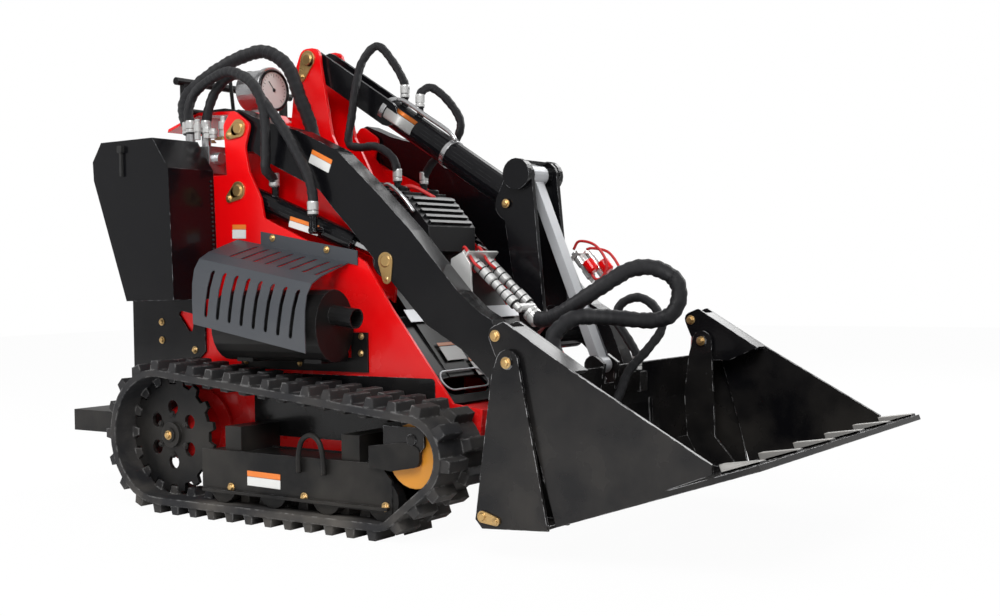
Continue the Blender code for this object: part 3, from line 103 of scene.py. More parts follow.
def world(point):
    """A place measured from the sprocket's axle, moved so that the machine's middle is at zero."""
    return Vector((point[0] - MIDDLE, point[1], point[2]))


# Wear along edges (on the bucket also a painted edge highlight), dust and grain that the finishes share


def socket(group, name, kind, way="INPUT", value=None):
    made = group.interface.new_socket(name=name, in_out=way, socket_type=kind)
    if value is not None:
        made.default_value = value
    return made


def wire(tree, start, end):
    tree.links.new(start, end)


def math_node(tree, operation, first, second, clamp=False):
    made = tree.nodes.new("ShaderNodeMath")
    made.operation = operation
    made.use_clamp = clamp
    for index, value in enumerate((first, second)):
        if isinstance(value, (int, float)):
            made.inputs[index].default_value = value
        elif value is not None:
            wire(tree, value, made.inputs[index])
    return made.outputs[0]


def edge_wear_and_highlight_group():
    """Bright scuffs along edges, on the bucket also a painted edge highlight: the bevelled normal leaves the
    face's own normal there.
    """
    group = bpy.data.node_groups.new("Edge wear and highlight", "ShaderNodeTree")
    socket(group, "Width", "NodeSocketFloat", value=0.003)
    socket(group, "Amount", "NodeSocketFloat", value=0.5)
    socket(group, "Grain", "NodeSocketFloat", value=40.0)
    socket(group, "Mask", "NodeSocketFloat", "OUTPUT")
    socket(group, "Normal", "NodeSocketVector", "OUTPUT")
    inside = group.nodes.new("NodeGroupInput")
    outside = group.nodes.new("NodeGroupOutput")
    bevel = group.nodes.new("ShaderNodeBevel")
    bevel.samples = 4
    wire(group, inside.outputs["Width"], bevel.inputs["Radius"])
    flat = group.nodes.new("ShaderNodeNewGeometry")
    dot = group.nodes.new("ShaderNodeVectorMath")
    dot.operation = "DOT_PRODUCT"
    wire(group, bevel.outputs["Normal"], dot.inputs[0])
    wire(group, flat.outputs["Normal"], dot.inputs[1])
    place = group.nodes.new("ShaderNodeTexCoord")
    noise = group.nodes.new("ShaderNodeTexNoise")
    noise.inputs["Detail"].default_value = 4.0
    wire(group, place.outputs["Object"], noise.inputs["Vector"])
    wire(group, inside.outputs["Grain"], noise.inputs["Scale"])
    edge = math_node(group, "SUBTRACT", 1.0, dot.outputs["Value"])
    sharp = math_node(group, "MULTIPLY", edge, 5.0, clamp=True)
    broken = math_node(group, "SUBTRACT", noise.outputs["Fac"], 0.46)
    broken = math_node(group, "MULTIPLY", broken, 9.0, clamp=True)
    mask = math_node(group, "MULTIPLY", sharp, broken)
    mask = math_node(group, "MULTIPLY", mask, inside.outputs["Amount"], clamp=True)
    wire(group, mask, outside.inputs["Mask"])
    wire(group, bevel.outputs["Normal"], outside.inputs["Normal"])
    return group


def grime_group():
    """Thin dust that thickens towards the ground, and a fine grain for the surface."""
    group = bpy.data.node_groups.new("Dust and grain", "ShaderNodeTree")
    socket(group, "Dust", "NodeSocketFloat", value=0.2)
    socket(group, "Top", "NodeSocketFloat", value=0.6)
    socket(group, "Grain", "NodeSocketFloat", value=300.0)
    socket(group, "Mask", "NodeSocketFloat", "OUTPUT")
    socket(group, "Height", "NodeSocketFloat", "OUTPUT")
    socket(group, "Cloud", "NodeSocketFloat", "OUTPUT")
    inside = group.nodes.new("NodeGroupInput")
    outside = group.nodes.new("NodeGroupOutput")
    place = group.nodes.new("ShaderNodeTexCoord")
    split = group.nodes.new("ShaderNodeSeparateXYZ")
    wire(group, place.outputs["Object"], split.inputs[0])
    cloud = group.nodes.new("ShaderNodeTexNoise")
    cloud.inputs["Scale"].default_value = 7.0
    cloud.inputs["Detail"].default_value = 6.0
    wire(group, place.outputs["Object"], cloud.inputs["Vector"])
    grain = group.nodes.new("ShaderNodeTexNoise")
    grain.inputs["Detail"].default_value = 2.0
    wire(group, place.outputs["Object"], grain.inputs["Vector"])
    wire(group, inside.outputs["Grain"], grain.inputs["Scale"])
    low = math_node(group, "DIVIDE", split.outputs["Z"], inside.outputs["Top"])
    low = math_node(group, "SUBTRACT", 1.0, low, clamp=True)
    blot = math_node(group, "SUBTRACT", cloud.outputs["Fac"], 0.36)
    blot = math_node(group, "MULTIPLY", blot, 3.0, clamp=True)
    mask = math_node(group, "MULTIPLY", low, blot)
    mask = math_node(group, "MULTIPLY", mask, inside.outputs["Dust"], clamp=True)
    wire(group, mask, outside.inputs["Mask"])
    wire(group, grain.outputs["Fac"], outside.inputs["Height"])
    wire(group, cloud.outputs["Fac"], outside.inputs["Cloud"])
    return group


EDGE_WEAR_AND_HIGHLIGHT = edge_wear_and_highlight_group()
GRIME = grime_group()


def mixed(tree, factor, first, second):
    made = tree.nodes.new("ShaderNodeMix")
    made.data_type = "RGBA"
    if isinstance(factor, float):
        made.inputs[0].default_value = factor
    else:
        wire(tree, factor, made.inputs[0])
    for index, value in ((6, first), (7, second)):
        if isinstance(value, tuple):
            made.inputs[index].default_value = (*value, 1.0)
        else:
            wire(tree, value, made.inputs[index])
    return made.outputs[2]


def surface(name, color, rough=0.35, metal=0.0, coat=0.0, worn=(0.35, 0.35, 0.36), wear=0.5, width=0.003,
            dust=0.15, dust_top=0.7, grain=420.0, bump=0.04, specular=0.5, weave=None):
    """One finish of the machine: its colour, edge wear (on the bucket partly a painted edge highlight), dust
    near the ground and surface grain.
    """
    made = bpy.data.materials.new(name)
    made.use_nodes = True
    tree = made.node_tree
    shader = tree.nodes["Principled BSDF"]
    edge = tree.nodes.new("ShaderNodeGroup")
    edge.node_tree = EDGE_WEAR_AND_HIGHLIGHT
    edge.inputs["Width"].default_value = width
    edge.inputs["Amount"].default_value = wear
    grime = tree.nodes.new("ShaderNodeGroup")
    grime.node_tree = GRIME
    grime.inputs["Dust"].default_value = dust
    grime.inputs["Top"].default_value = dust_top
    grime.inputs["Grain"].default_value = grain
    shade = tuple(c * 0.86 for c in color)
    base = mixed(tree, grime.outputs["Cloud"], shade, color)
    # Light colour along edges: wear, and on the bucket also a painted edge highlight
    base = mixed(tree, edge.outputs["Mask"], base, worn)
    base = mixed(tree, grime.outputs["Mask"], base, (0.30, 0.27, 0.23))
    wire(tree, base, shader.inputs["Base Color"])
    blotch = math_node(tree, "MULTIPLY", grime.outputs["Cloud"], 0.16)
    dusty = math_node(tree, "MULTIPLY", grime.outputs["Mask"], 0.5)
    roughness = math_node(tree, "ADD", blotch, rough - 0.08)
    roughness = math_node(tree, "ADD", roughness, dusty, clamp=True)
    wire(tree, roughness, shader.inputs["Roughness"])
    if metal:
        shader.inputs["Metallic"].default_value = metal
    shader.inputs["Specular IOR Level"].default_value = specular
    if coat:
        shader.inputs["Coat Weight"].default_value = coat
        shader.inputs["Coat Roughness"].default_value = 0.06
    height = grime.outputs["Height"]
    if weave:
        wave = tree.nodes.new("ShaderNodeTexWave")
        wave.inputs["Scale"].default_value = weave
        wave.inputs["Distortion"].default_value = 1.5
        wave.bands_direction = "DIAGONAL"
        place = tree.nodes.new("ShaderNodeTexCoord")
        wire(tree, place.outputs["UV"], wave.inputs["Vector"])
        height = math_node(tree, "ADD", height, wave.outputs["Fac"])
    relief = tree.nodes.new("ShaderNodeBump")
    relief.inputs["Strength"].default_value = bump
    relief.inputs["Distance"].default_value = 0.002
    wire(tree, height, relief.inputs["Height"])
    wire(tree, edge.outputs["Normal"], relief.inputs["Normal"])
    wire(tree, relief.outputs["Normal"], shader.inputs["Normal"])
    return made


red_paint = surface("red gloss paint", (0.86, 0.001, 0.003), 0.24, coat=0.12, worn=(0.80, 0.30, 0.27),
                    wear=0.45, width=0.0018, specular=0.35)
black_gloss = surface("black gloss paint", (0.0045, 0.0045, 0.0055), 0.22, coat=0.10,
                      worn=(0.55, 0.56, 0.58), wear=0.9, width=0.0014, specular=0.20, dust=0.06)
# Bucket paint: its wide, strong light grey edge colour is partly edge wear and partly a painted highlight
# along the bucket's bright edges
bucket_paint_wear_and_highlight = surface("black bucket paint with wear and painted edge highlight", (0.0045, 0.0045, 0.0055), 0.24, coat=0.10,
                       worn=(0.62, 0.62, 0.63), wear=1.3, width=0.0026, specular=0.22, dust=0.10)
black_satin = surface("black satin paint", (0.0065, 0.0065, 0.007), 0.38, worn=(0.18, 0.18, 0.19),
                      wear=0.5, width=0.0014, dust=0.10, specular=0.18)
grey_sheet = surface("grey powder coat", (0.050, 0.055, 0.064), 0.42, worn=(0.22, 0.22, 0.24),
                     wear=0.3, width=0.001, bump=0.10)
track_rubber = surface("track rubber", (0.019, 0.019, 0.021), 0.68, worn=(0.17, 0.17, 0.17), wear=1.1,
                       width=0.007, dust=0.30, dust_top=0.5, grain=160.0, bump=0.22, specular=0.30)
bare_steel = surface("bright steel", (0.60, 0.60, 0.61), 0.26, metal=0.9, worn=(0.75, 0.75, 0.76), wear=0.3)
chrome = surface("chromed rod", (0.78, 0.79, 0.80), 0.10, metal=1.0, wear=0.0, dust=0.05, bump=0.01)
yellow_zinc = surface("yellow zinc plating", (0.62, 0.40, 0.16), 0.30, metal=0.85,
                      worn=(0.75, 0.65, 0.40), wear=0.4)
idler_orange = surface("orange idler paint", (0.70, 0.28, 0.02), 0.40, worn=(0.25, 0.22, 0.20), wear=0.6)
silver_paint = surface("silver paint", (0.50, 0.51, 0.53), 0.36, metal=0.35, worn=(0.65, 0.65, 0.66),
                       wear=0.4)
white_steel = surface("bright fitting", (0.74, 0.74, 0.73), 0.24, metal=0.55, worn=(0.80, 0.78, 0.70),
                      wear=0.3)
hose_sleeve = surface("braided sleeve", (0.017, 0.017, 0.019), 0.46, wear=0.0, dust=0.0, weave=22.0,
                      bump=0.5, specular=0.35)
engine_metal = surface("engine casting", (0.007, 0.007, 0.008), 0.42, worn=(0.30, 0.30, 0.31), wear=0.8,
                       bump=0.3, specular=0.25)
label_white = surface("blank white label", (0.78, 0.78, 0.76), 0.38, wear=0.0, dust=0.1, bump=0.01)
label_orange = surface("blank orange band", (0.85, 0.22, 0.03), 0.38, wear=0.0, dust=0.1, bump=0.01)
red_cord = surface("red lanyard", (0.62, 0.02, 0.02), 0.5, wear=0.0, dust=0.0, bump=0.05)
seal_rubber = surface("seal rubber", (0.012, 0.012, 0.012), 0.65, wear=0.0, bump=0.2)
worn_edge = surface("bare worn edge", (0.50, 0.49, 0.47), 0.38, metal=0.6, worn=(0.30, 0.22, 0.16), wear=0.6,
                    bump=0.12)
dial_white = surface("dial face", (0.80, 0.80, 0.78), 0.35, wear=0.0, dust=0.0, bump=0.005)

FINISHES = {
    "chassis": red_paint, "hood": red_paint, "centre_tower": red_paint, "exhaust_guard": grey_sheet,
    "side_box_right": black_gloss, "side_box_left": black_gloss,
    "lift_arm_right": black_gloss, "lift_arm_left": black_gloss, "arm_cross_tube": black_gloss,
    "rocker": black_gloss, "rocker_pin": black_gloss, "link_pin": black_gloss,
    "tilt_barrel": black_gloss, "lift_barrel_right": black_gloss, "lift_barrel_left": black_gloss,
    "tilt_rod": chrome, "lift_rod_right": chrome, "lift_rod_left": chrome,
    "clam_rod_right": chrome, "clam_rod_left": chrome,
    "bucket_back": bucket_paint_wear_and_highlight, "bucket_clam": bucket_paint_wear_and_highlight,
    "bucket_link": silver_paint, "engine": engine_metal, "couplers": white_steel,
    "control_valve": bare_steel, "gauge_drum": bare_steel,
    "track_right": track_rubber, "track_left": track_rubber,
    "idler_right": idler_orange, "idler_left": idler_orange,
    "lift_hoses": hose_sleeve, "tilt_hoses": hose_sleeve, "bucket_hoses": hose_sleeve,
}
for name, node in nodes.items():
    finish = FINISHES.get(name, black_satin)
    if not node.material_slots:
        node.data.materials.append(finish)
    for entry in node.material_slots:
        entry.material = finish


# Shapes that the machine's smaller pieces are made of


def object_of(name, shape, material, body, smooth=False):
    mesh = bpy.data.meshes.new(name)
    shape.to_mesh(mesh)
    shape.free()
    if smooth:
        mesh.shade_smooth()
    mesh.materials.append(material)
    made = bpy.data.objects.new(name, mesh)
    bpy.context.scene.collection.objects.link(made)
    if body:
        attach(made, body)
    return made


def closed_piece(name, shape, material, body, smooth=False):
    """A piece whose faces are first all turned outward."""
    bmesh.ops.recalc_face_normals(shape, faces=shape.faces[:])
    return object_of(name, shape, material, body, smooth)


def join_rings(shape, low, high):
    """The band of faces between two rings with equally many points."""
    count = len(low)
    return [shape.faces.new((low[k], low[(k + 1) % count], high[(k + 1) % count], high[k]))
            for k in range(count)]


def cap_ends(shape, rings):
    """Flat faces over the first and the last ring."""
    shape.faces.new(rings[0][::-1])
    shape.faces.new(rings[-1])


def add_block(shape, corners):
    """A block from its eight corners, four below and four above in the same order."""
    for quad in ((3, 2, 1, 0), (4, 5, 6, 7), (0, 1, 5, 4), (1, 2, 6, 5), (2, 3, 7, 6), (3, 0, 4, 7)):
        shape.faces.new([corners[k] for k in quad])


def on_circle(radius, angle):
    """The place at an angle in degrees on a circle round the origin."""
    return radius * cos(radians(angle)), radius * sin(radians(angle))


def turned(direction):
    """A turn that takes +Z to a direction."""
    return Vector(direction).normalized().to_track_quat("Z", "Y").to_matrix().to_4x4()


def add_round(shape, center, direction, steps, sides=16):
    """A turned piece: steps are (height along the direction, radius), closed at both ends."""
    matrix = Matrix.Translation(world(center)) @ turned(direction)
    angles = [2 * pi * k / sides for k in range(sides)]
    rings = []
    for height, radius in steps:
        rings.append([shape.verts.new(matrix @ Vector((radius * cos(a), radius * sin(a), height)))
                      for a in angles])
    for low, high in zip(rings, rings[1:]):
        join_rings(shape, low, high)
    cap_ends(shape, rings)


def add_slab(shape, outline, low, high):
    """A flat piece: an (x, z) outline between two y values."""
    ends = [[shape.verts.new(world((x, y, z))) for x, z in outline] for y in (low, high)]
    join_rings(shape, *ends)
    cap_ends(shape, ends)
    bmesh.ops.recalc_face_normals(shape, faces=shape.faces[:])


def smooth_route(points, spacing=0.007):
    """Evenly spaced places along a smooth curve through the points."""
    knots = [Vector(p) for p in points]
    knots = [2 * knots[0] - knots[1], *knots, 2 * knots[-1] - knots[-2]]
    route = []
    for i in range(1, len(knots) - 2):
        a, b, c, d = knots[i - 1:i + 3]
        steps = max(1, ceil((c - b).length / spacing))
        for k in range(steps):
            t = k / steps
            route.append(0.5 * (2 * b + (c - a) * t + (2 * a - 5 * b + 4 * c - d) * t * t
                                + (3 * b - 3 * c + d - a) * t ** 3))
    route.append(knots[-2])
    return route


def add_tube(shape, points, radius, sides=14, ribs=0.0, first=0, last=None):
    """A hose, pipe or cord with crinkles as deep as ribs; first and last bound the stretch that is made."""
    route = smooth_route(points)
    last = len(route) - 1 if last is None else last
    layer = shape.loops.layers.uv.verify()
    up = Vector((0.0, 0.0, 1.0))
    angles = [2 * pi * k / sides for k in range(sides)]
    rings = []
    side = None
    for index, point in enumerate(route):
        ahead = (route[min(index + 1, len(route) - 1)] - route[max(index - 1, 0)]).normalized()
        if side is None:
            side = ahead.cross(up if abs(ahead.z) < 0.9 else Vector((0.0, 1.0, 0.0))).normalized()
        side = (side - ahead * side.dot(ahead)).normalized()
        other = ahead.cross(side)
        if not first <= index <= last:
            continue
        swell = radius * (1.0 + ribs * (sin(index * 1.9) + 0.6 * sin(index * 0.83 + 1.0)))
        rings.append([shape.verts.new(world(point + side * (swell * cos(a)) + other * (swell * sin(a))))
                      for a in angles])
    for row, (low, high) in enumerate(zip(rings, rings[1:])):
        for k, face in enumerate(join_rings(shape, low, high)):
            for loop, (u, v) in zip(face.loops, ((k, row), (k + 1, row), (k + 1, row + 1), (k, row + 1))):
                loop[layer].uv = (u / sides, v * 0.12)
    cap_ends(shape, rings)


def add_bolt(shape, center, direction, size):
    """A flanged hexagon bolt with a chamfered head."""
    add_round(shape, center, direction, ((-0.001, size * 1.35), (size * 0.22, size * 1.35)), 18)
    add_round(shape, center, direction, ((0.0, size), (size * 0.75, size), (size * 0.95, size * 0.72)), 6)


def bolts(name, places, direction, material, body, size):
    """One piece of equal bolts at several places."""
    shape = bmesh.new()
    for place in places:
        add_bolt(shape, place, direction, size)
    return closed_piece(name, shape, material, body)


def arc(center, radius, start, sweep, steps):
    """Places on a round corner, from the angle start through the angle sweep."""
    points = []
    for k in range(steps + 1):
        across, up = on_circle(radius, start + sweep * k / steps)
        points.append((center[0] + across, center[1] + up))
    return points


def rounded(x0, z0, x1, z1, radius=0.004, steps=4):
    """The outline of a rectangle with round corners."""
    points = []
    for center, start in (((x1 - radius, z1 - radius), 0), ((x0 + radius, z1 - radius), 90),
                          ((x0 + radius, z0 + radius), 180), ((x1 - radius, z0 + radius), 270)):
        points += arc(center, radius, start, 90, steps)
    return points


def slanted(points, origin, heading):
    """An outline turned by the angle heading and moved to its origin."""
    c, s = on_circle(1.0, heading)
    return [(origin[0] + x * c - z * s, origin[1] + x * s + z * c) for x, z in points]


def label(name, origin, heading, length, height, face, side, body, band=0.35):
    """A blank sticker: a white plate with an orange band at its top."""
    front = face + side * 0.0005
    split = height * (1 - band)
    white = bmesh.new()
    add_slab(white, slanted(rounded(0.0, 0.0, length, split, 0.002), origin, heading), face, front)
    object_of(name, white, label_white, body)
    orange = bmesh.new()
    outline = rounded(0.0, split + 0.0006, length, height, 0.002)
    add_slab(orange, slanted(outline, origin, heading), face, front)
    object_of(name + "_band", orange, label_orange, body)


def teardrop(pin, bolt, big=0.026, small=0.013, steps=14):
    """The outline of a pin's keeper plate, round at the pin and narrow at its bolt."""
    heading = degrees(atan2(bolt[1] - pin[1], bolt[0] - pin[0]))
    return arc(pin, big, heading + 80, 200, steps) + arc(bolt, small, heading - 80, 160, 6)


def keeper(name, pin, bolt, face, side, body, big=0.026, small=0.013, thick=0.005):
    """A pin's plate with the pin's end and its bolt; thick sets how far all of it stands out."""
    out = (0, side, 0)
    shape = bmesh.new()
    add_slab(shape, teardrop(pin, bolt, big, small), face, face + side * thick)
    add_round(shape, (pin[0], face + side * thick * 0.8, pin[1]), out,
              ((0.0, big * 0.66), (thick * 0.8, big * 0.66), (thick * 1.2, big * 0.55)), 20)
    add_bolt(shape, (bolt[0], face + side * thick, bolt[1]), out, thick * 1.36)
    return closed_piece(name, shape, yellow_zinc, body)


# Keeper plates of the pins and round ears at the lift cylinders' rods, on both sides

for side, label_of in SIDES:
    keeper(f"lift_pin_plate_{label_of}", LIFT_PIN, (0.126, 1.068), side * WALL, side, "chassis")
    keeper(f"base_pin_plate_{label_of}", LIFT_BASE_PIN, (0.122, 0.888), side * WALL, side, "chassis")
    keeper(f"rod_pin_plate_{label_of}", LIFT_ROD_PIN, (0.684, 0.650), side * ARM_SIDE, side, "lift_arms",
           0.024, 0.014, 0.003)
    shape = bmesh.new()
    add_slab(shape, teardrop(LIFT_ROD_PIN, (0.742, 0.700), 0.044, 0.034, 20),
             side * 0.306, side * (ARM_SIDE - 0.0002))
    closed_piece(f"rod_ear_{label_of}", shape, black_gloss, "lift_arms")
keeper("tilt_pin_plate", TILT_PIN, (0.158, 1.262), -TOWER_SIDE, -1, "chassis", 0.027, 0.014)
keeper("tilt_pin_plate_left", TILT_PIN, (0.158, 1.262), TOWER_SIDE, 1, "chassis", 0.027, 0.014)

# Track frames with their bolts and lifting rods, and the sprockets' hub caps and bolts

for side, label_of in SIDES:
    y = side * TRACK_FRAME_SIDE
    foot = y + side * 0.008
    bow = y + side * 0.010
    hub = (0.0, side * HUB_SIDE, SPROCKET_Z)
    bolts(f"frame_bolts_{label_of}", ((0.272, y, 0.091), (0.540, y, 0.086), (0.813, y, 0.084)),
          (0, side, 0), yellow_zinc, "chassis", 0.009)
    shape = bmesh.new()
    add_tube(shape, ((0.530, foot, 0.150), (0.532, bow, 0.200), (0.545, bow, 0.236), (0.575, bow, 0.250),
                     (0.602, bow, 0.236), (0.615, bow, 0.200), (0.617, foot, 0.150)), 0.007)
    object_of(f"lifting_rod_{label_of}", shape, black_satin, "chassis", True)
    shape = bmesh.new()
    add_round(shape, hub, (0, side, 0),
              ((0.0, 0.034), (0.006, 0.034), (0.008, 0.020), (0.016, 0.020), (0.018, 0.012)), 24)
    object_of(f"hub_cap_{label_of}", shape, black_satin, "chassis")
    ring = [on_circle(0.058, 60 * k + 30) for k in range(6)]
    places = [(x, side * HUB_SIDE, SPROCKET_Z + z) for x, z in ring]
    bolts(f"sprocket_bolts_{label_of}", places, (0, side, 0), black_satin, "chassis", 0.007)
    bolts(f"hub_bolt_{label_of}", ((0.0, side * 0.470, SPROCKET_Z),), (0, side, 0), yellow_zinc, "chassis",
          0.010)
label("frame_label", (0.333, 0.101), -1.0, 0.122, 0.040, -TRACK_FRAME_SIDE, -1, "chassis", 0.4)

# Drive motors, seen red through the sprocket's holes

for side, label_of in SIDES:
    shape = bmesh.new()
    add_round(shape, (0.0, side * 0.422, SPROCKET_Z), (0, side, 0),
              ((-0.086, 0.122), (-0.078, 0.122), (-0.076, 0.082), (-0.008, 0.080), (0.0, 0.070)), 32)
    closed_piece(f"drive_motor_{label_of}", shape, red_paint, "chassis")

# Fork cheeks over the idlers and black skirts behind the tracks

for side, label_of in SIDES:
    low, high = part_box(f"idler_{label_of}")
    outer = low.y if side < 0 else high.y
    shape = bmesh.new()
    face = outer + side * 0.008
    add_slab(shape, ((0.815, 0.224), (0.930, 0.228), (0.942, 0.240), (0.942, 0.276), (0.930, 0.288),
                     (0.815, 0.288)), outer + side * 0.001, face)
    add_round(shape, (0.905, face, 0.257), (0, side, 0), ((0.0, 0.014), (0.004, 0.014), (0.005, 0.007)), 18)
    closed_piece(f"fork_cheek_{label_of}", shape, black_gloss, "chassis")
    shape = bmesh.new()
    add_slab(shape, rounded(0.205, 0.215, 0.850, 0.392, 0.012),
             side * (WALL + 0.0003), side * (WALL + 0.0020))
    object_of(f"skirt_{label_of}", shape, black_gloss, "chassis")

# Exhaust guard, muffler and wall fasteners

for name, face, size, places in (
        ("guard_bolts", -0.3335, 0.0075, ((0.289, 0.769), (0.490, 0.732))),
        ("muffler_bolts", -0.3365, 0.007, ((0.610, 0.498), (0.608, 0.453))),
        ("strip_bolts", -0.3365, 0.0065, ((0.180, 0.421), (0.387, 0.421)))):
    bolts(name, [(x, face, z) for x, z in places], (0, -1, 0), yellow_zinc, "chassis", size)
label("wall_label", (0.128, 0.772), -2.0, 0.054, 0.040, -WALL - 0.0003, -1, "chassis")
places = ((-0.170, 0.531), (-0.170, 0.477), (-0.029, 0.450), (-0.029, 0.610), (-0.220, 0.620))
bolts("lower_plate_bolts", [(x, -0.3375, z) for x, z in places], (0, -1, 0), yellow_zinc, "chassis", 0.008)

# Side boxes: studs of the door's seal and the latch

for side, label_of in SIDES:
    shape = bmesh.new()
    low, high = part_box(f"side_box_{label_of}")
    front = high.x + MIDDLE
    outer = low.y if side < 0 else high.y
    for k in range(24):
        z = 0.640 + k * 0.013
        add_round(shape, (front - (z - 0.600) * 0.0324, side * (WALL + 0.012), z), (1, 0, 0),
                  ((-0.002, 0.0035), (0.003, 0.0035), (0.0045, 0.002)), 8)
    closed_piece(f"door_seal_{label_of}", shape, seal_rubber, "chassis")
    shape = bmesh.new()
    add_slab(shape, rounded(-0.139, 0.955, -0.131, 1.030, 0.0035), outer, outer + side * 0.009)
    add_slab(shape, rounded(-0.144, 1.022, -0.126, 1.043, 0.005), outer, outer + side * 0.013)
    object_of(f"latch_{label_of}", shape, seal_rubber, "chassis")

# Front panel: blank labels

panel_back = PANEL_FOOT[0] - PANEL_TOP[0]
panel_rise = PANEL_TOP[1] - PANEL_FOOT[1]
panel_slope = Vector((panel_back, 0.0, -panel_rise)).normalized()
panel_out = Vector((-panel_slope.z, 0.0, panel_slope.x))


def panel_x(z):
    """How far forward the front panel stands at a height."""
    return PANEL_FOOT[0] - (z - PANEL_FOOT[1]) / panel_rise * panel_back - PANEL_DEPTH


def on_panel(name, y0, y1, z0, z1, material, lift=0.0005, thick=0.0008):
    """A thin sheet lying on the slanted front panel."""
    shape = bmesh.new()
    corners = []
    for offset in (lift, lift + thick):
        for y, z in ((y0, z0), (y1, z0), (y1, z1), (y0, z1)):
            corners.append(shape.verts.new(world((panel_x(z), y, z)) + panel_out * offset))
    add_block(shape, corners)
    return closed_piece(name, shape, material, "chassis")


on_panel("panel_label_top", -0.213, -0.125, 0.430, 0.466, label_white)
on_panel("panel_label_band", -0.213, -0.125, 0.4675, 0.476, label_orange)
on_panel("panel_label_low", -0.120, -0.017, 0.386, 0.422, label_white)
on_panel("panel_label_low_band", -0.120, -0.017, 0.4235, 0.432, label_orange)

# Arm's blank label and the rocker's bolts

label("arm_label", (0.412, 0.974), -25.0, 0.080, 0.038, -ARM_SIDE, -1, "lift_arms")
for side, label_of in SIDES:
    bolts(f"rocker_bolts_{label_of}", ((0.9390, side * 0.0765, 0.925), (0.905, side * 0.0765, 0.848)),
          (0, side, 0), yellow_zinc, "rocker", 0.009)

# Gauge: rim, face with marks and hand

DIAL = (0.094, -0.118, 1.222)


def on_dial(lift, radius, angle):
    """A place on the gauge, lift in front of its face."""
    across, up = on_circle(radius, angle)
    return (DIAL[0] + lift, DIAL[1] + across, DIAL[2] + up)


def gauge():
    shape = bmesh.new()
    add_round(shape, DIAL, (1, 0, 0), ((0.001, 0.055), (0.003, 0.055)), 32)
    closed_piece("gauge_face", shape, dial_white, "chassis")
    shape = bmesh.new()
    add_tube(shape, [on_dial(0.0035, 0.0585, 12 * k) for k in range(31)], 0.0045, 8)
    object_of("gauge_rim", shape, black_gloss, "chassis", True)
    shape = bmesh.new()
    for k in range(21):
        angle = 225 - 13.5 * k
        reach = 0.010 if k % 5 == 0 else 0.005
        middle = Vector(on_dial(0.0034, 0.048 - reach / 2, angle))
        along = Vector((0.0, *on_circle(1.0, angle)))
        over = Vector((0.0, -along.z, along.y))
        corners = [shape.verts.new(world(middle + along * (reach / 2 * p) + over * (0.0008 * q)))
                   for p, q in ((-1, -1), (1, -1), (1, 1), (-1, 1))]
        shape.faces.new(corners)
    add_round(shape, on_dial(0.0035, 0.0, 0), (1, 0, 0), ((0.0, 0.006), (0.003, 0.004)), 16)
    add_tube(shape, (on_dial(0.0045, 0.0, 0), (0.0985, -0.140, 1.246)), 0.0012, 8)
    closed_piece("gauge_marks", shape, seal_rubber, "chassis")


gauge()

# Hoses with braided sleeves and swaged ends: name, radius, first body, last body and route of each

LIFT_RUNS = (
    ("valve_hose", 0.020, "chassis", None,
     ((-0.100, -0.275, 1.0885), (-0.100, -0.275, 1.105), (-0.135, -0.262, 1.160), (-0.143, -0.240, 1.214),
      (-0.092, -0.205, 1.270), (-0.031, -0.185, 1.304), (0.030, -0.170, 1.325), (0.103, -0.155, 1.331),
      (0.180, -0.145, 1.281), (0.217, -0.135, 1.190), (0.248, -0.125, 1.107), (0.262, -0.120, 1.035),
      (0.262, -0.120, 1.005), (0.262, -0.120, 0.9855))),
    ("lift_base_hose", 0.014, "chassis", "lift_barrel_right",
     ((-0.068, -0.300, 1.0885), (-0.068, -0.300, 1.105), (-0.080, -0.297, 1.155), (-0.062, -0.290, 1.206),
      (0.002, -0.290, 1.240), (0.120, -0.318, 1.252), (0.240, -0.347, 1.200), (0.277, -0.350, 1.137),
      (0.286, -0.350, 1.080), (0.278, -0.343, 1.000), (0.270, -0.334, 0.960), (0.256, -0.288, 0.936),
      (0.256, -0.288, 0.9155))),
    ("lift_rod_hose", 0.014, "chassis", "lift_barrel_right",
     ((-0.036, -0.270, 1.0885), (-0.036, -0.270, 1.105), (-0.030, -0.264, 1.160), (0.000, -0.260, 1.215),
      (0.064, -0.262, 1.250), (0.166, -0.300, 1.232), (0.261, -0.337, 1.160), (0.338, -0.342, 1.079),
      (0.395, -0.342, 1.000), (0.437, -0.342, 0.930), (0.451, -0.342, 0.880), (0.451, -0.342, 0.845),
      (0.451, -0.342, 0.8255))),
)
TILT_RUNS = (
    ("tilt_base_hose", 0.012, "chassis", "tilt_barrel",
     ((0.520, -0.060, 0.9255), (0.520, -0.060, 0.945), (0.512, -0.070, 0.995), (0.462, -0.082, 1.030),
      (0.400, -0.085, 1.032), (0.360, -0.085, 1.050), (0.372, -0.082, 1.128), (0.384, -0.077, 1.210),
      (0.398, -0.060, 1.285), (0.439, -0.040, 1.326), (0.480, -0.018, 1.275), (0.505, 0.000, 1.215),
      (0.505, 0.000, 1.192), (0.505, 0.000, 1.1725))),
    ("tilt_rod_hose", 0.012, "chassis", "tilt_barrel",
     ((0.500, 0.090, 0.9255), (0.500, 0.090, 0.945), (0.530, 0.092, 0.990), (0.610, 0.090, 1.040),
      (0.645, 0.080, 1.098), (0.618, 0.060, 1.160), (0.580, 0.030, 1.200), (0.560, 0.005, 1.185),
      (0.560, 0.000, 1.160), (0.560, 0.000, 1.1405))),
)
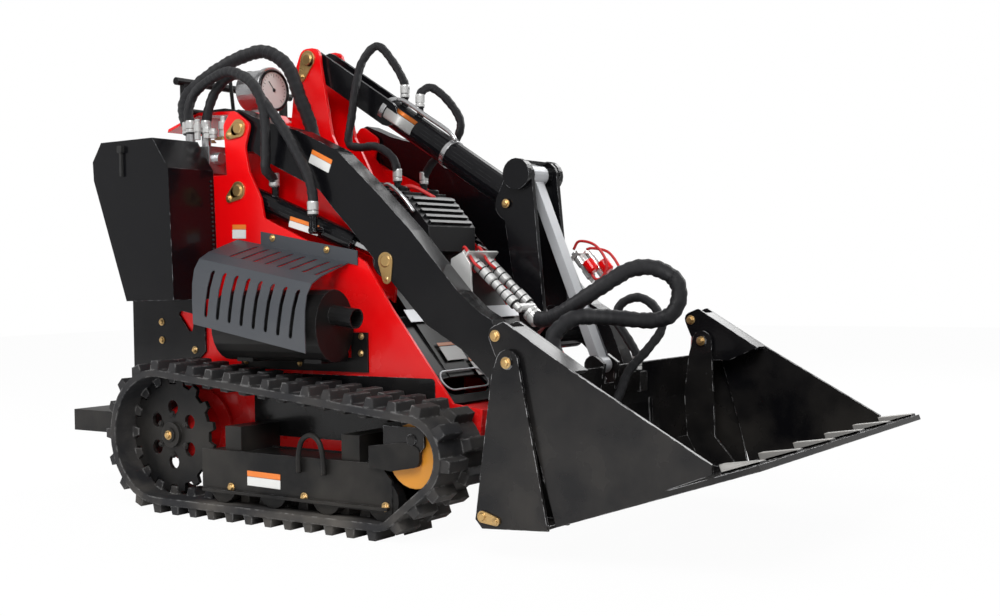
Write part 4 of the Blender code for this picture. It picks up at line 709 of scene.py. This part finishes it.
BUCKET_RUN = (
    (1.0434, -0.182, 0.5622), (1.056, -0.182, 0.551), (1.095, -0.190, 0.540), (1.157, -0.200, 0.560),
    (1.227, -0.200, 0.599), (1.290, -0.190, 0.637), (1.336, -0.170, 0.664), (1.388, -0.150, 0.667),
    (1.429, -0.120, 0.639), (1.436, -0.110, 0.596), (1.414, -0.110, 0.553), (1.363, -0.120, 0.537),
    (1.278, -0.170, 0.546), (1.228, -0.240, 0.549), (1.200, -0.270, 0.530), (1.184, -0.290, 0.500),
    (1.196, -0.300, 0.450), (1.205, -0.300, 0.415), (1.205, -0.300, 0.3930))


def hose(name, route, radius, start_body, end_body=None, ribs=0.055, first=0, last=None):
    """A hose between two bodies: without a last body it rides on its first body, otherwise it stays where it
    is made.
    """
    shape = bmesh.new()
    add_tube(shape, route, radius, 16, ribs, first, last)
    made = closed_piece(name, shape, hose_sleeve, None, True)
    if end_body:
        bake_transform(made)
    else:
        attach(made, start_body)
    return made


def ferrule(name, point, toward, radius, body):
    """The swaged steel end of a hose with its nut."""
    shape = bmesh.new()
    add_round(shape, point, toward, ((0.000, radius * 0.8), (0.004, radius * 1.10), (0.012, radius * 1.10),
                                     (0.013, radius * 0.95), (0.016, radius * 1.12), (0.036, radius * 1.12),
                                     (0.039, radius * 1.04)), 18)
    return closed_piece(name, shape, white_steel, body)


def end_ferrules(name, route, radius, start_body, end_body):
    """Both ends of a hose, in line with its first and last stretch."""
    first, last = Vector(route[0]), Vector(route[-1])
    ferrule(name + "_end_a", first, Vector(route[1]) - first, radius, start_body)
    ferrule(name + "_end_b", last, Vector(route[-2]) - last, radius, end_body)


for runs, node in ((LIFT_RUNS, "lift_hoses"), (TILT_RUNS, "tilt_hoses")):
    for name, radius, start_body, end_body, route in runs:
        made = hose(name, route, radius, start_body, end_body)
        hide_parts(node)
        end_ferrules(name, route, radius, start_body, end_body or start_body)

# The bucket's hose is made in two stretches that meet near its foremost bend
BUCKET_HOSE_R = 0.020
LOOP_HOSE_R = 0.012
half = next(k for k, p in enumerate(smooth_route(BUCKET_RUN)) if p.x > 1.42)
front_part = hose("bucket_hose_front", BUCKET_RUN, BUCKET_HOSE_R, "lift_arms", "hitch_carrier", last=half)
rear_part = hose("bucket_hose_rear", BUCKET_RUN, BUCKET_HOSE_R, "hitch_carrier", "bucket", first=half)
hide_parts("bucket_hoses")
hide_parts("bucket_hoses")
end_ferrules("bucket_hose", BUCKET_RUN, BUCKET_HOSE_R, "lift_arms", "bucket")
LOOP_RUN = ((1.1905, -0.045, 0.300), (1.205, -0.045, 0.300), (1.222, -0.030, 0.345), (1.232, 0.000, 0.400),
            (1.262, 0.050, 0.455), (1.286, 0.085, 0.510), (1.262, 0.092, 0.564), (1.215, 0.090, 0.590),
            (1.164, 0.086, 0.572), (1.150, 0.088, 0.528), (1.178, 0.094, 0.480), (1.200, 0.100, 0.440),
            (1.203, 0.100, 0.415), (1.203, 0.100, 0.3930))
hose("bucket_loop_hose", LOOP_RUN, LOOP_HOSE_R, "bucket")
end_ferrules("loop_hose", LOOP_RUN, LOOP_HOSE_R, "bucket", "bucket")

# Tilt cylinder: steel tube along its top and two clamp bands

tilt_slope = Vector((TILT_FRONT[0] - TILT_REAR[0], 0.0, TILT_FRONT[1] - TILT_REAR[1])).normalized()
tilt_up = Vector((-tilt_slope.z, 0.0, tilt_slope.x))


def on_tilt(distance, height, y=0.0):
    """A place by the tilt cylinder, at a distance along its axis and a height above it."""
    return Vector((TILT_REAR[0], y, TILT_REAR[1])) + tilt_slope * distance + tilt_up * height


shape = bmesh.new()
for at, wide in ((0.300, 0.016), (0.560, 0.014)):
    add_round(shape, on_tilt(at, 0.0), tilt_slope,
              ((0.0, 0.0405), (0.0, 0.0430), (wide, 0.0430), (wide, 0.0405)), 40)
closed_piece("tilt_clamps", shape, bare_steel, "tilt_barrel")
shape = bmesh.new()
tube_places = ((0.330, 0.048), (0.360, 0.056), (0.450, 0.056), (0.540, 0.056), (0.575, 0.046))
add_tube(shape, [on_tilt(distance, height, -0.020) for distance, height in tube_places], 0.0065)
object_of("tilt_tube", shape, bare_steel, "tilt_barrel", True)

# Bucket and clam: bolts of the hinge and of the clam's cylinder ears, outside and inside

for side, label_of in SIDES:
    for name, spot, distance, way, body in (
            ("hinge_bolts", HINGE_BOLT, CHEEK_SIDE, side, "bucket"),
            ("inner_hinge_bolts", HINGE_BOLT, INNER_HINGE_SIDE, -side, "bucket"),
            ("cheek_bolts", CLAM_BOLT, CLAM_CHEEK_SIDE, side, "clam"),
            ("ear_bolts", CLAM_BOLT, CLAM_EAR_SIDE, -side, "clam")):
        bolts(f"{name}_{label_of}", ((spot[0], side * distance, spot[1]),), (0, way, 0), yellow_zinc, body,
              0.010)

# Front panel: silver sheet above the black one and the bright edge of its slot


def ring_on_panel(name, y0, y1, z, half, width, material):
    """A raised edge around a rounded slot in the slanted panel."""
    center = Vector((panel_x(z), 0.0, z))
    outline = arc((y1, 0.0), half, -90, 180, 12) + arc((y0, 0.0), half, 90, 180, 12)
    shape = bmesh.new()
    rings = []
    for grow, lift in ((0.0, 0.0005), (0.0, 0.004), (width, 0.004), (width, 0.0005)):
        ring = []
        for y, v in outline:
            away = Vector((y, v)) - Vector((min(max(y, y0), y1), 0.0))
            away = away.normalized() if away.length else Vector((0.0, 0.0))
            spot = center - panel_slope * (v + away.y * grow) + panel_out * lift
            ring.append(shape.verts.new(world((spot.x, y + away.x * grow, spot.z))))
        rings.append(ring)
    for low, high in zip(rings, rings[1:] + rings[:1]):
        join_rings(shape, low, high)
    return closed_piece(name, shape, material, "chassis")


on_panel("panel_skin", -0.262, 0.262, 0.533, 0.566, silver_paint, 0.0004)
ring_on_panel("slot_edge", -0.262, -0.125, 0.381, 0.028, 0.004, silver_paint)

# Lift cylinders, left arm and tilt cylinder: blank labels

label("lift_label", (0.331, 0.800), -15.4, 0.112, 0.030, -LIFT_BARREL_SIDE, -1, "lift_barrel_right", 0.40)
label("lift_label_far", (0.331, 0.800), -15.4, 0.112, 0.030, LIFT_BARREL_SIDE, 1, "lift_barrel_left", 0.40)
label("arm_label_far", (0.412, 0.974), -25.0, 0.080, 0.038, ARM_SIDE, 1, "lift_arms")


def wrapped_label(name, start, length, low_angle, high_angle, radius, material, body, steps=10):
    """A blank sticker that follows the round barrel of the tilt cylinder."""
    shape = bmesh.new()
    rows = []
    for lift in (0.0004, 0.0009):
        for distance in (start, start + length):
            row = []
            for k in range(steps + 1):
                angle = low_angle + (high_angle - low_angle) * k / steps
                near, height = on_circle(radius + lift, angle)
                row.append(shape.verts.new(world(on_tilt(distance, height, -near))))
            rows.append(row)
    inner_near, inner_far, outer_near, outer_far = rows
    for k in range(steps):
        shape.faces.new((outer_near[k], outer_near[k + 1], outer_far[k + 1], outer_far[k]))
        shape.faces.new((inner_near[k], inner_far[k], inner_far[k + 1], inner_near[k + 1]))
        shape.faces.new((inner_near[k], inner_near[k + 1], outer_near[k + 1], outer_near[k]))
        shape.faces.new((inner_far[k], outer_far[k], outer_far[k + 1], inner_far[k + 1]))
    for k in (0, steps):
        shape.faces.new((inner_near[k], outer_near[k], outer_far[k], inner_far[k]))
    return closed_piece(name, shape, material, body, True)


wrapped_label("tilt_label", 0.320, 0.115, -22, 26, TILT_BARREL_R, label_white, "tilt_barrel")
wrapped_label("tilt_label_band", 0.320, 0.115, 28, 46, TILT_BARREL_R, label_orange, "tilt_barrel")

# Valve bank: spool ends, elbows and caps

shape = bmesh.new()
for start, end, radius in (((0.020, -0.318, 1.068), (0.020, -0.318, 1.108), 0.010),
                           ((0.046, -0.318, 1.066), (0.046, -0.318, 1.094), 0.011),
                           ((-0.020, -0.318, 1.066), (-0.020, -0.318, 1.126), 0.009),
                           ((0.006, -0.240, 1.075), (0.006, -0.240, 1.140), 0.012),
                           ((0.034, -0.250, 1.072), (0.062, -0.258, 1.112), 0.010)):
    run = Vector(end) - Vector(start)
    tall = run.length
    add_round(shape, start, run, ((0.0, radius), (tall * 0.35, radius), (tall * 0.40, radius * 1.25),
                                  (tall * 0.75, radius * 1.25), (tall * 0.80, radius * 0.8),
                                  (tall, radius * 0.8)), 12)
closed_piece("valve_fittings", shape, white_steel, "chassis")
bolts("valve_bolts", ((0.030, -0.285, 1.066), (0.052, -0.285, 1.066), (0.030, -0.225, 1.066),
                      (-0.046, -0.235, 1.066)), (0, 0, 1), yellow_zinc, "chassis", 0.008)

# Engine: louvres, filler caps, breather tubes, starter cord and bolts

shape = bmesh.new()
for k in range(9):
    add_slab(shape, rounded(0.428, 0.786 + k * 0.011, 0.600, 0.791 + k * 0.011, 0.002), -0.113, -0.108)
add_slab(shape, rounded(0.470, 0.700, 0.560, 0.755, 0.012), -0.146, -0.140)
for k in range(9):
    x = 0.424 + k * 0.018
    z = 0.9055 - (x - 0.413) * 0.1143
    add_slab(shape, ((x, z - 0.004), (x + 0.006, z - 0.004), (x + 0.006, z + 0.007), (x, z + 0.008)),
             -0.098, 0.098)
for k in range(5):
    x = 0.597 + k * 0.015
    z = 0.885 - (x - 0.588) * 1.125
    add_slab(shape, ((x - 0.004, z - 0.004), (x + 0.002, z - 0.011), (x + 0.012, z - 0.001),
                     (x + 0.006, z + 0.006)), -0.098, 0.098)
closed_piece("engine_louvres", shape, black_gloss, "chassis")
shape = bmesh.new()
for x, y, z, radius, tall in ((0.470, -0.070, 0.899, 0.026, 0.030), (0.540, -0.065, 0.891, 0.018, 0.024),
                              (0.455, 0.050, 0.901, 0.020, 0.026), (0.565, 0.045, 0.888, 0.022, 0.020)):
    add_round(shape, (x, y, z - 0.004), (0.11, 0.0, 0.99),
              ((0.0, radius), (tall * 0.5, radius), (tall * 0.55, radius * 0.8), (tall, radius * 0.8),
               (tall + 0.003, radius * 0.6)), 20)
closed_piece("engine_caps", shape, black_satin, "chassis")
shape = bmesh.new()
add_tube(shape, ((0.460, -0.140, 0.640), (0.458, -0.162, 0.665), (0.465, -0.170, 0.720),
                 (0.500, -0.160, 0.775), (0.520, -0.130, 0.820)), 0.008)
add_tube(shape, ((0.500, -0.120, 0.905), (0.540, -0.125, 0.915), (0.590, -0.128, 0.880),
                 (0.622, -0.118, 0.835)), 0.006)
object_of("engine_tubes", shape, bare_steel, "chassis", True)
shape = bmesh.new()
add_tube(shape, ((0.430, 0.020, 0.900), (0.440, -0.020, 0.922), (0.485, -0.028, 0.905),
                 (0.540, -0.020, 0.915), (0.600, 0.010, 0.880)), 0.006, 10)
object_of("engine_cord", shape, red_cord, "chassis", True)
bolts("engine_bolts", ((0.440, -0.110, 0.760), (0.560, -0.110, 0.740), (0.640, -0.110, 0.770),
                       (0.520, -0.1405, 0.690), (0.545, -0.1465, 0.727)),
      (0, -1, 0), bare_steel, "chassis", 0.007)

# Couplers: lanyards and grooves of the near pair, the far pair and its dust caps

NEAR_COUPLERS = (-0.215, -0.150)
COUPLER_SLANT = (0.60, 0.0, -0.76)

shape = bmesh.new()
for y in NEAR_COUPLERS:
    add_tube(shape, ((0.930, y - 0.016, 0.672), (0.912, y - 0.026, 0.692), (0.878, y - 0.012, 0.728),
                     (0.856, y + 0.010, 0.722), (0.862, y + 0.022, 0.690), (0.885, y + 0.020, 0.664)),
             0.0040, 10)
for x, y, drop in ((0.948, 0.200, 0.0), (0.968, 0.240, 0.02)):
    add_tube(shape, ((x, y, 0.725), (x + 0.020, y, 0.748 - drop), (x + 0.075, y - 0.006, 0.735 - drop),
                     (x + 0.112, y - 0.010, 0.690 - drop), (x + 0.105, y - 0.012, 0.650),
                     (x + 0.078, y - 0.012, 0.640), (x + 0.056, y - 0.010, 0.672)), 0.0040, 10)
object_of("coupler_cords", shape, red_cord, "lift_arms", True)
top, foot = Vector((0.867, 0.0, 0.718)), Vector((1.038, 0.0, 0.567))
down = (foot - top).normalized()
shape = bmesh.new()
for y in NEAR_COUPLERS:
    for distance, radius in ((0.052, 0.0150), (0.075, 0.0150), (0.098, 0.0150), (0.122, 0.0126),
                             (0.143, 0.0126), (0.163, 0.0150), (0.185, 0.0150), (0.206, 0.0150)):
        spot = top + down * distance
        add_round(shape, (spot.x, y, spot.z), down, ((0.0, radius), (0.0035, radius)), 20)
closed_piece("coupler_grooves", shape, seal_rubber, "lift_arms")
shape = bmesh.new()
for x, y in ((0.948, 0.205), (0.968, 0.248)):
    add_round(shape, (x, y, 0.716), COUPLER_SLANT,
              ((0.0, 0.010), (0.018, 0.010), (0.019, 0.0135), (0.046, 0.0135), (0.047, 0.011),
               (0.060, 0.011), (0.061, 0.0135), (0.088, 0.0135), (0.092, 0.010), (0.104, 0.010)), 18)
add_slab(shape, ((0.940, 0.700), (0.966, 0.722), (0.972, 0.714), (0.946, 0.692)), 0.190, 0.2615)
closed_piece("far_couplers", shape, white_steel, "lift_arms")
shape = bmesh.new()
for x, y in ((1.000, 0.190), (1.024, 0.232)):
    add_round(shape, (x, y, 0.690), COUPLER_SLANT, ((0.0, 0.017), (0.030, 0.017), (0.036, 0.012)), 18)
closed_piece("dust_caps", shape, red_paint, "lift_arms")

# Clam: worn wedge bars on the blade with their weld beads, the worn lip, and the heel's pin plates

BARS = [(k - 2.5) * 0.200 for k in range(6)]
floor_way = Vector((BLADE_TIP[0] - FLOOR_REAR[0], 0.0, BLADE_TIP[1] - FLOOR_REAR[1])).normalized()
floor_up = Vector((-floor_way.z, 0.0, floor_way.x))


def on_floor(distance, y, height):
    """A place by the clam's floor, at a distance behind its front edge and a height above it."""
    spot = Vector((BLADE_TIP[0], 0.0, BLADE_TIP[1])) - floor_way * distance + floor_up * height
    return (spot.x, y, spot.z)


def add_plank(shape, start, end, y0, y1, low, high, rear):
    """A bar laid on the clam's floor between two distances from its front edge, its rear end raised."""
    corners = []
    for front_top, rear_top in ((low, low), (high, rear)):
        for distance, y, height in ((start, y0, front_top), (end, y0, rear_top), (end, y1, rear_top),
                                    (start, y1, front_top)):
            corners.append(shape.verts.new(world(on_floor(distance, y, height))))
    add_block(shape, corners)


shape = bmesh.new()
for y in BARS:
    add_plank(shape, 0.006, 0.094, y - 0.0160, y + 0.0160, BLADE_TOP - 0.004, BLADE_TOP + 0.0010,
              BLADE_TOP + 0.016)
add_plank(shape, 0.0, 0.020, -0.5240, 0.5240, BLADE_TOP - 0.0078, BLADE_TOP - 0.0070, BLADE_TOP - 0.0070)
closed_piece("bar_tops", shape, worn_edge, "clam")
shape = bmesh.new()
for y in BARS:
    for edge in (-0.017, 0.017):
        for k in range(7):
            add_round(shape, on_floor(0.012 + k * 0.013, y + edge, BLADE_TOP - 0.0075), floor_up,
                      ((-0.001, 0.0045), (0.0015, 0.0040), (0.003, 0.002)), 8)
closed_piece("bar_welds", shape, black_gloss, "clam")
for side, label_of in SIDES:
    keeper(f"heel_pin_plate_{label_of}", (1.150, 0.100), (1.188, 0.092), side * HEEL_PIN_SIDE, side,
           "bucket", 0.014, 0.010)

# Setting: pale floor, studio lamps and the camera


def floor_material():
    made = bpy.data.materials.new("pale floor")
    made.use_nodes = True
    tree = made.node_tree
    shader = tree.nodes["Principled BSDF"]
    shader.inputs["Base Color"].default_value = (0.92, 0.92, 0.92, 1.0)
    shader.inputs["Roughness"].default_value = 0.9
    shader.inputs["Specular IOR Level"].default_value = 0.1
    glow = tree.nodes.new("ShaderNodeEmission")
    glow.inputs["Color"].default_value = (1.0, 1.0, 1.0, 1.0)
    glow.inputs["Strength"].default_value = 1.0
    path = tree.nodes.new("ShaderNodeLightPath")
    share = math_node(tree, "MULTIPLY", path.outputs["Is Camera Ray"], 0.965)
    mixer = tree.nodes.new("ShaderNodeMixShader")
    wire(tree, share, mixer.inputs[0])
    wire(tree, shader.outputs[0], mixer.inputs[1])
    wire(tree, glow.outputs[0], mixer.inputs[2])
    wire(tree, mixer.outputs[0], tree.nodes["Material Output"].inputs["Surface"])
    return made


def setting():
    """A wide pale floor, a white backdrop and three large lamps."""
    shape = bmesh.new()
    reach = 12.0
    edges = ((-reach, -reach), (reach, -reach), (reach, reach), (-reach, reach))
    shape.faces.new([shape.verts.new((x, y, -0.001)) for x, y in edges])
    floor = object_of("floor", shape, floor_material(), None)
    sky = bpy.data.worlds.new("studio")
    bpy.context.scene.world = sky
    sky.use_nodes = True
    tree = sky.node_tree
    soft = tree.nodes["Background"]
    soft.inputs["Color"].default_value = (1.0, 1.0, 1.0, 1.0)
    soft.inputs["Strength"].default_value = 0.42
    white = tree.nodes.new("ShaderNodeBackground")
    white.inputs["Color"].default_value = (1.0, 1.0, 1.0, 1.0)
    white.inputs["Strength"].default_value = 1.0
    path = tree.nodes.new("ShaderNodeLightPath")
    seen = math_node(tree, "MAXIMUM", path.outputs["Is Camera Ray"], path.outputs["Is Transmission Ray"])
    glossy = math_node(tree, "MULTIPLY", path.outputs["Is Glossy Ray"], 0.20)
    seen = math_node(tree, "MAXIMUM", seen, glossy)
    choice = tree.nodes.new("ShaderNodeMixShader")
    wire(tree, seen, choice.inputs[0])
    wire(tree, soft.outputs[0], choice.inputs[1])
    wire(tree, white.outputs[0], choice.inputs[2])
    wire(tree, choice.outputs[0], tree.nodes["World Output"].inputs["Surface"])
    for name, spot, size, power in (("key", (2.2, -4.0, 4.2), 2.6, 235.0),
                                    ("fill", (-4.4, -2.6, 2.6), 2.6, 140.0),
                                    ("back", (0.5, 4.2, 3.6), 3.0, 120.0)):
        lamp = bpy.data.lights.new(name, "AREA")
        lamp.size = size
        lamp.energy = power
        holder = bpy.data.objects.new(name, lamp)
        holder.location = spot
        holder.visible_glossy = name != "fill"
        holder.rotation_euler = (Vector((0.0, 0.0, 0.5)) - Vector(spot)).to_track_quat("-Z", "Y").to_euler()
        bpy.context.scene.collection.objects.link(holder)


def photo_camera():
    """Low at the machine's front right corner, level with the engine."""
    data = bpy.data.cameras.new("photo")
    data.sensor_width = 36.0
    data.lens = 1.311 * data.sensor_width
    made = bpy.data.objects.new("photo", data)
    turn, dip, roll = radians(34.5), radians(1.4), radians(-0.9)
    ahead = Vector((-sin(turn) * cos(dip), cos(turn) * cos(dip), -sin(dip)))
    right = ahead.cross(Vector((0.0, 0.0, 1.0))).normalized()
    up = right.cross(ahead)
    aim = Matrix((right, up, -ahead)).transposed().to_4x4()
    place = Matrix.Translation(world((2.89, -3.00, 0.653)))
    made.matrix_world = place @ aim @ Matrix.Rotation(roll, 4, "Z")
    bpy.context.scene.collection.objects.link(made)
    bpy.context.scene.camera = made


setting()
photo_camera()
bpy.context.scene.view_settings.view_transform = "Standard"
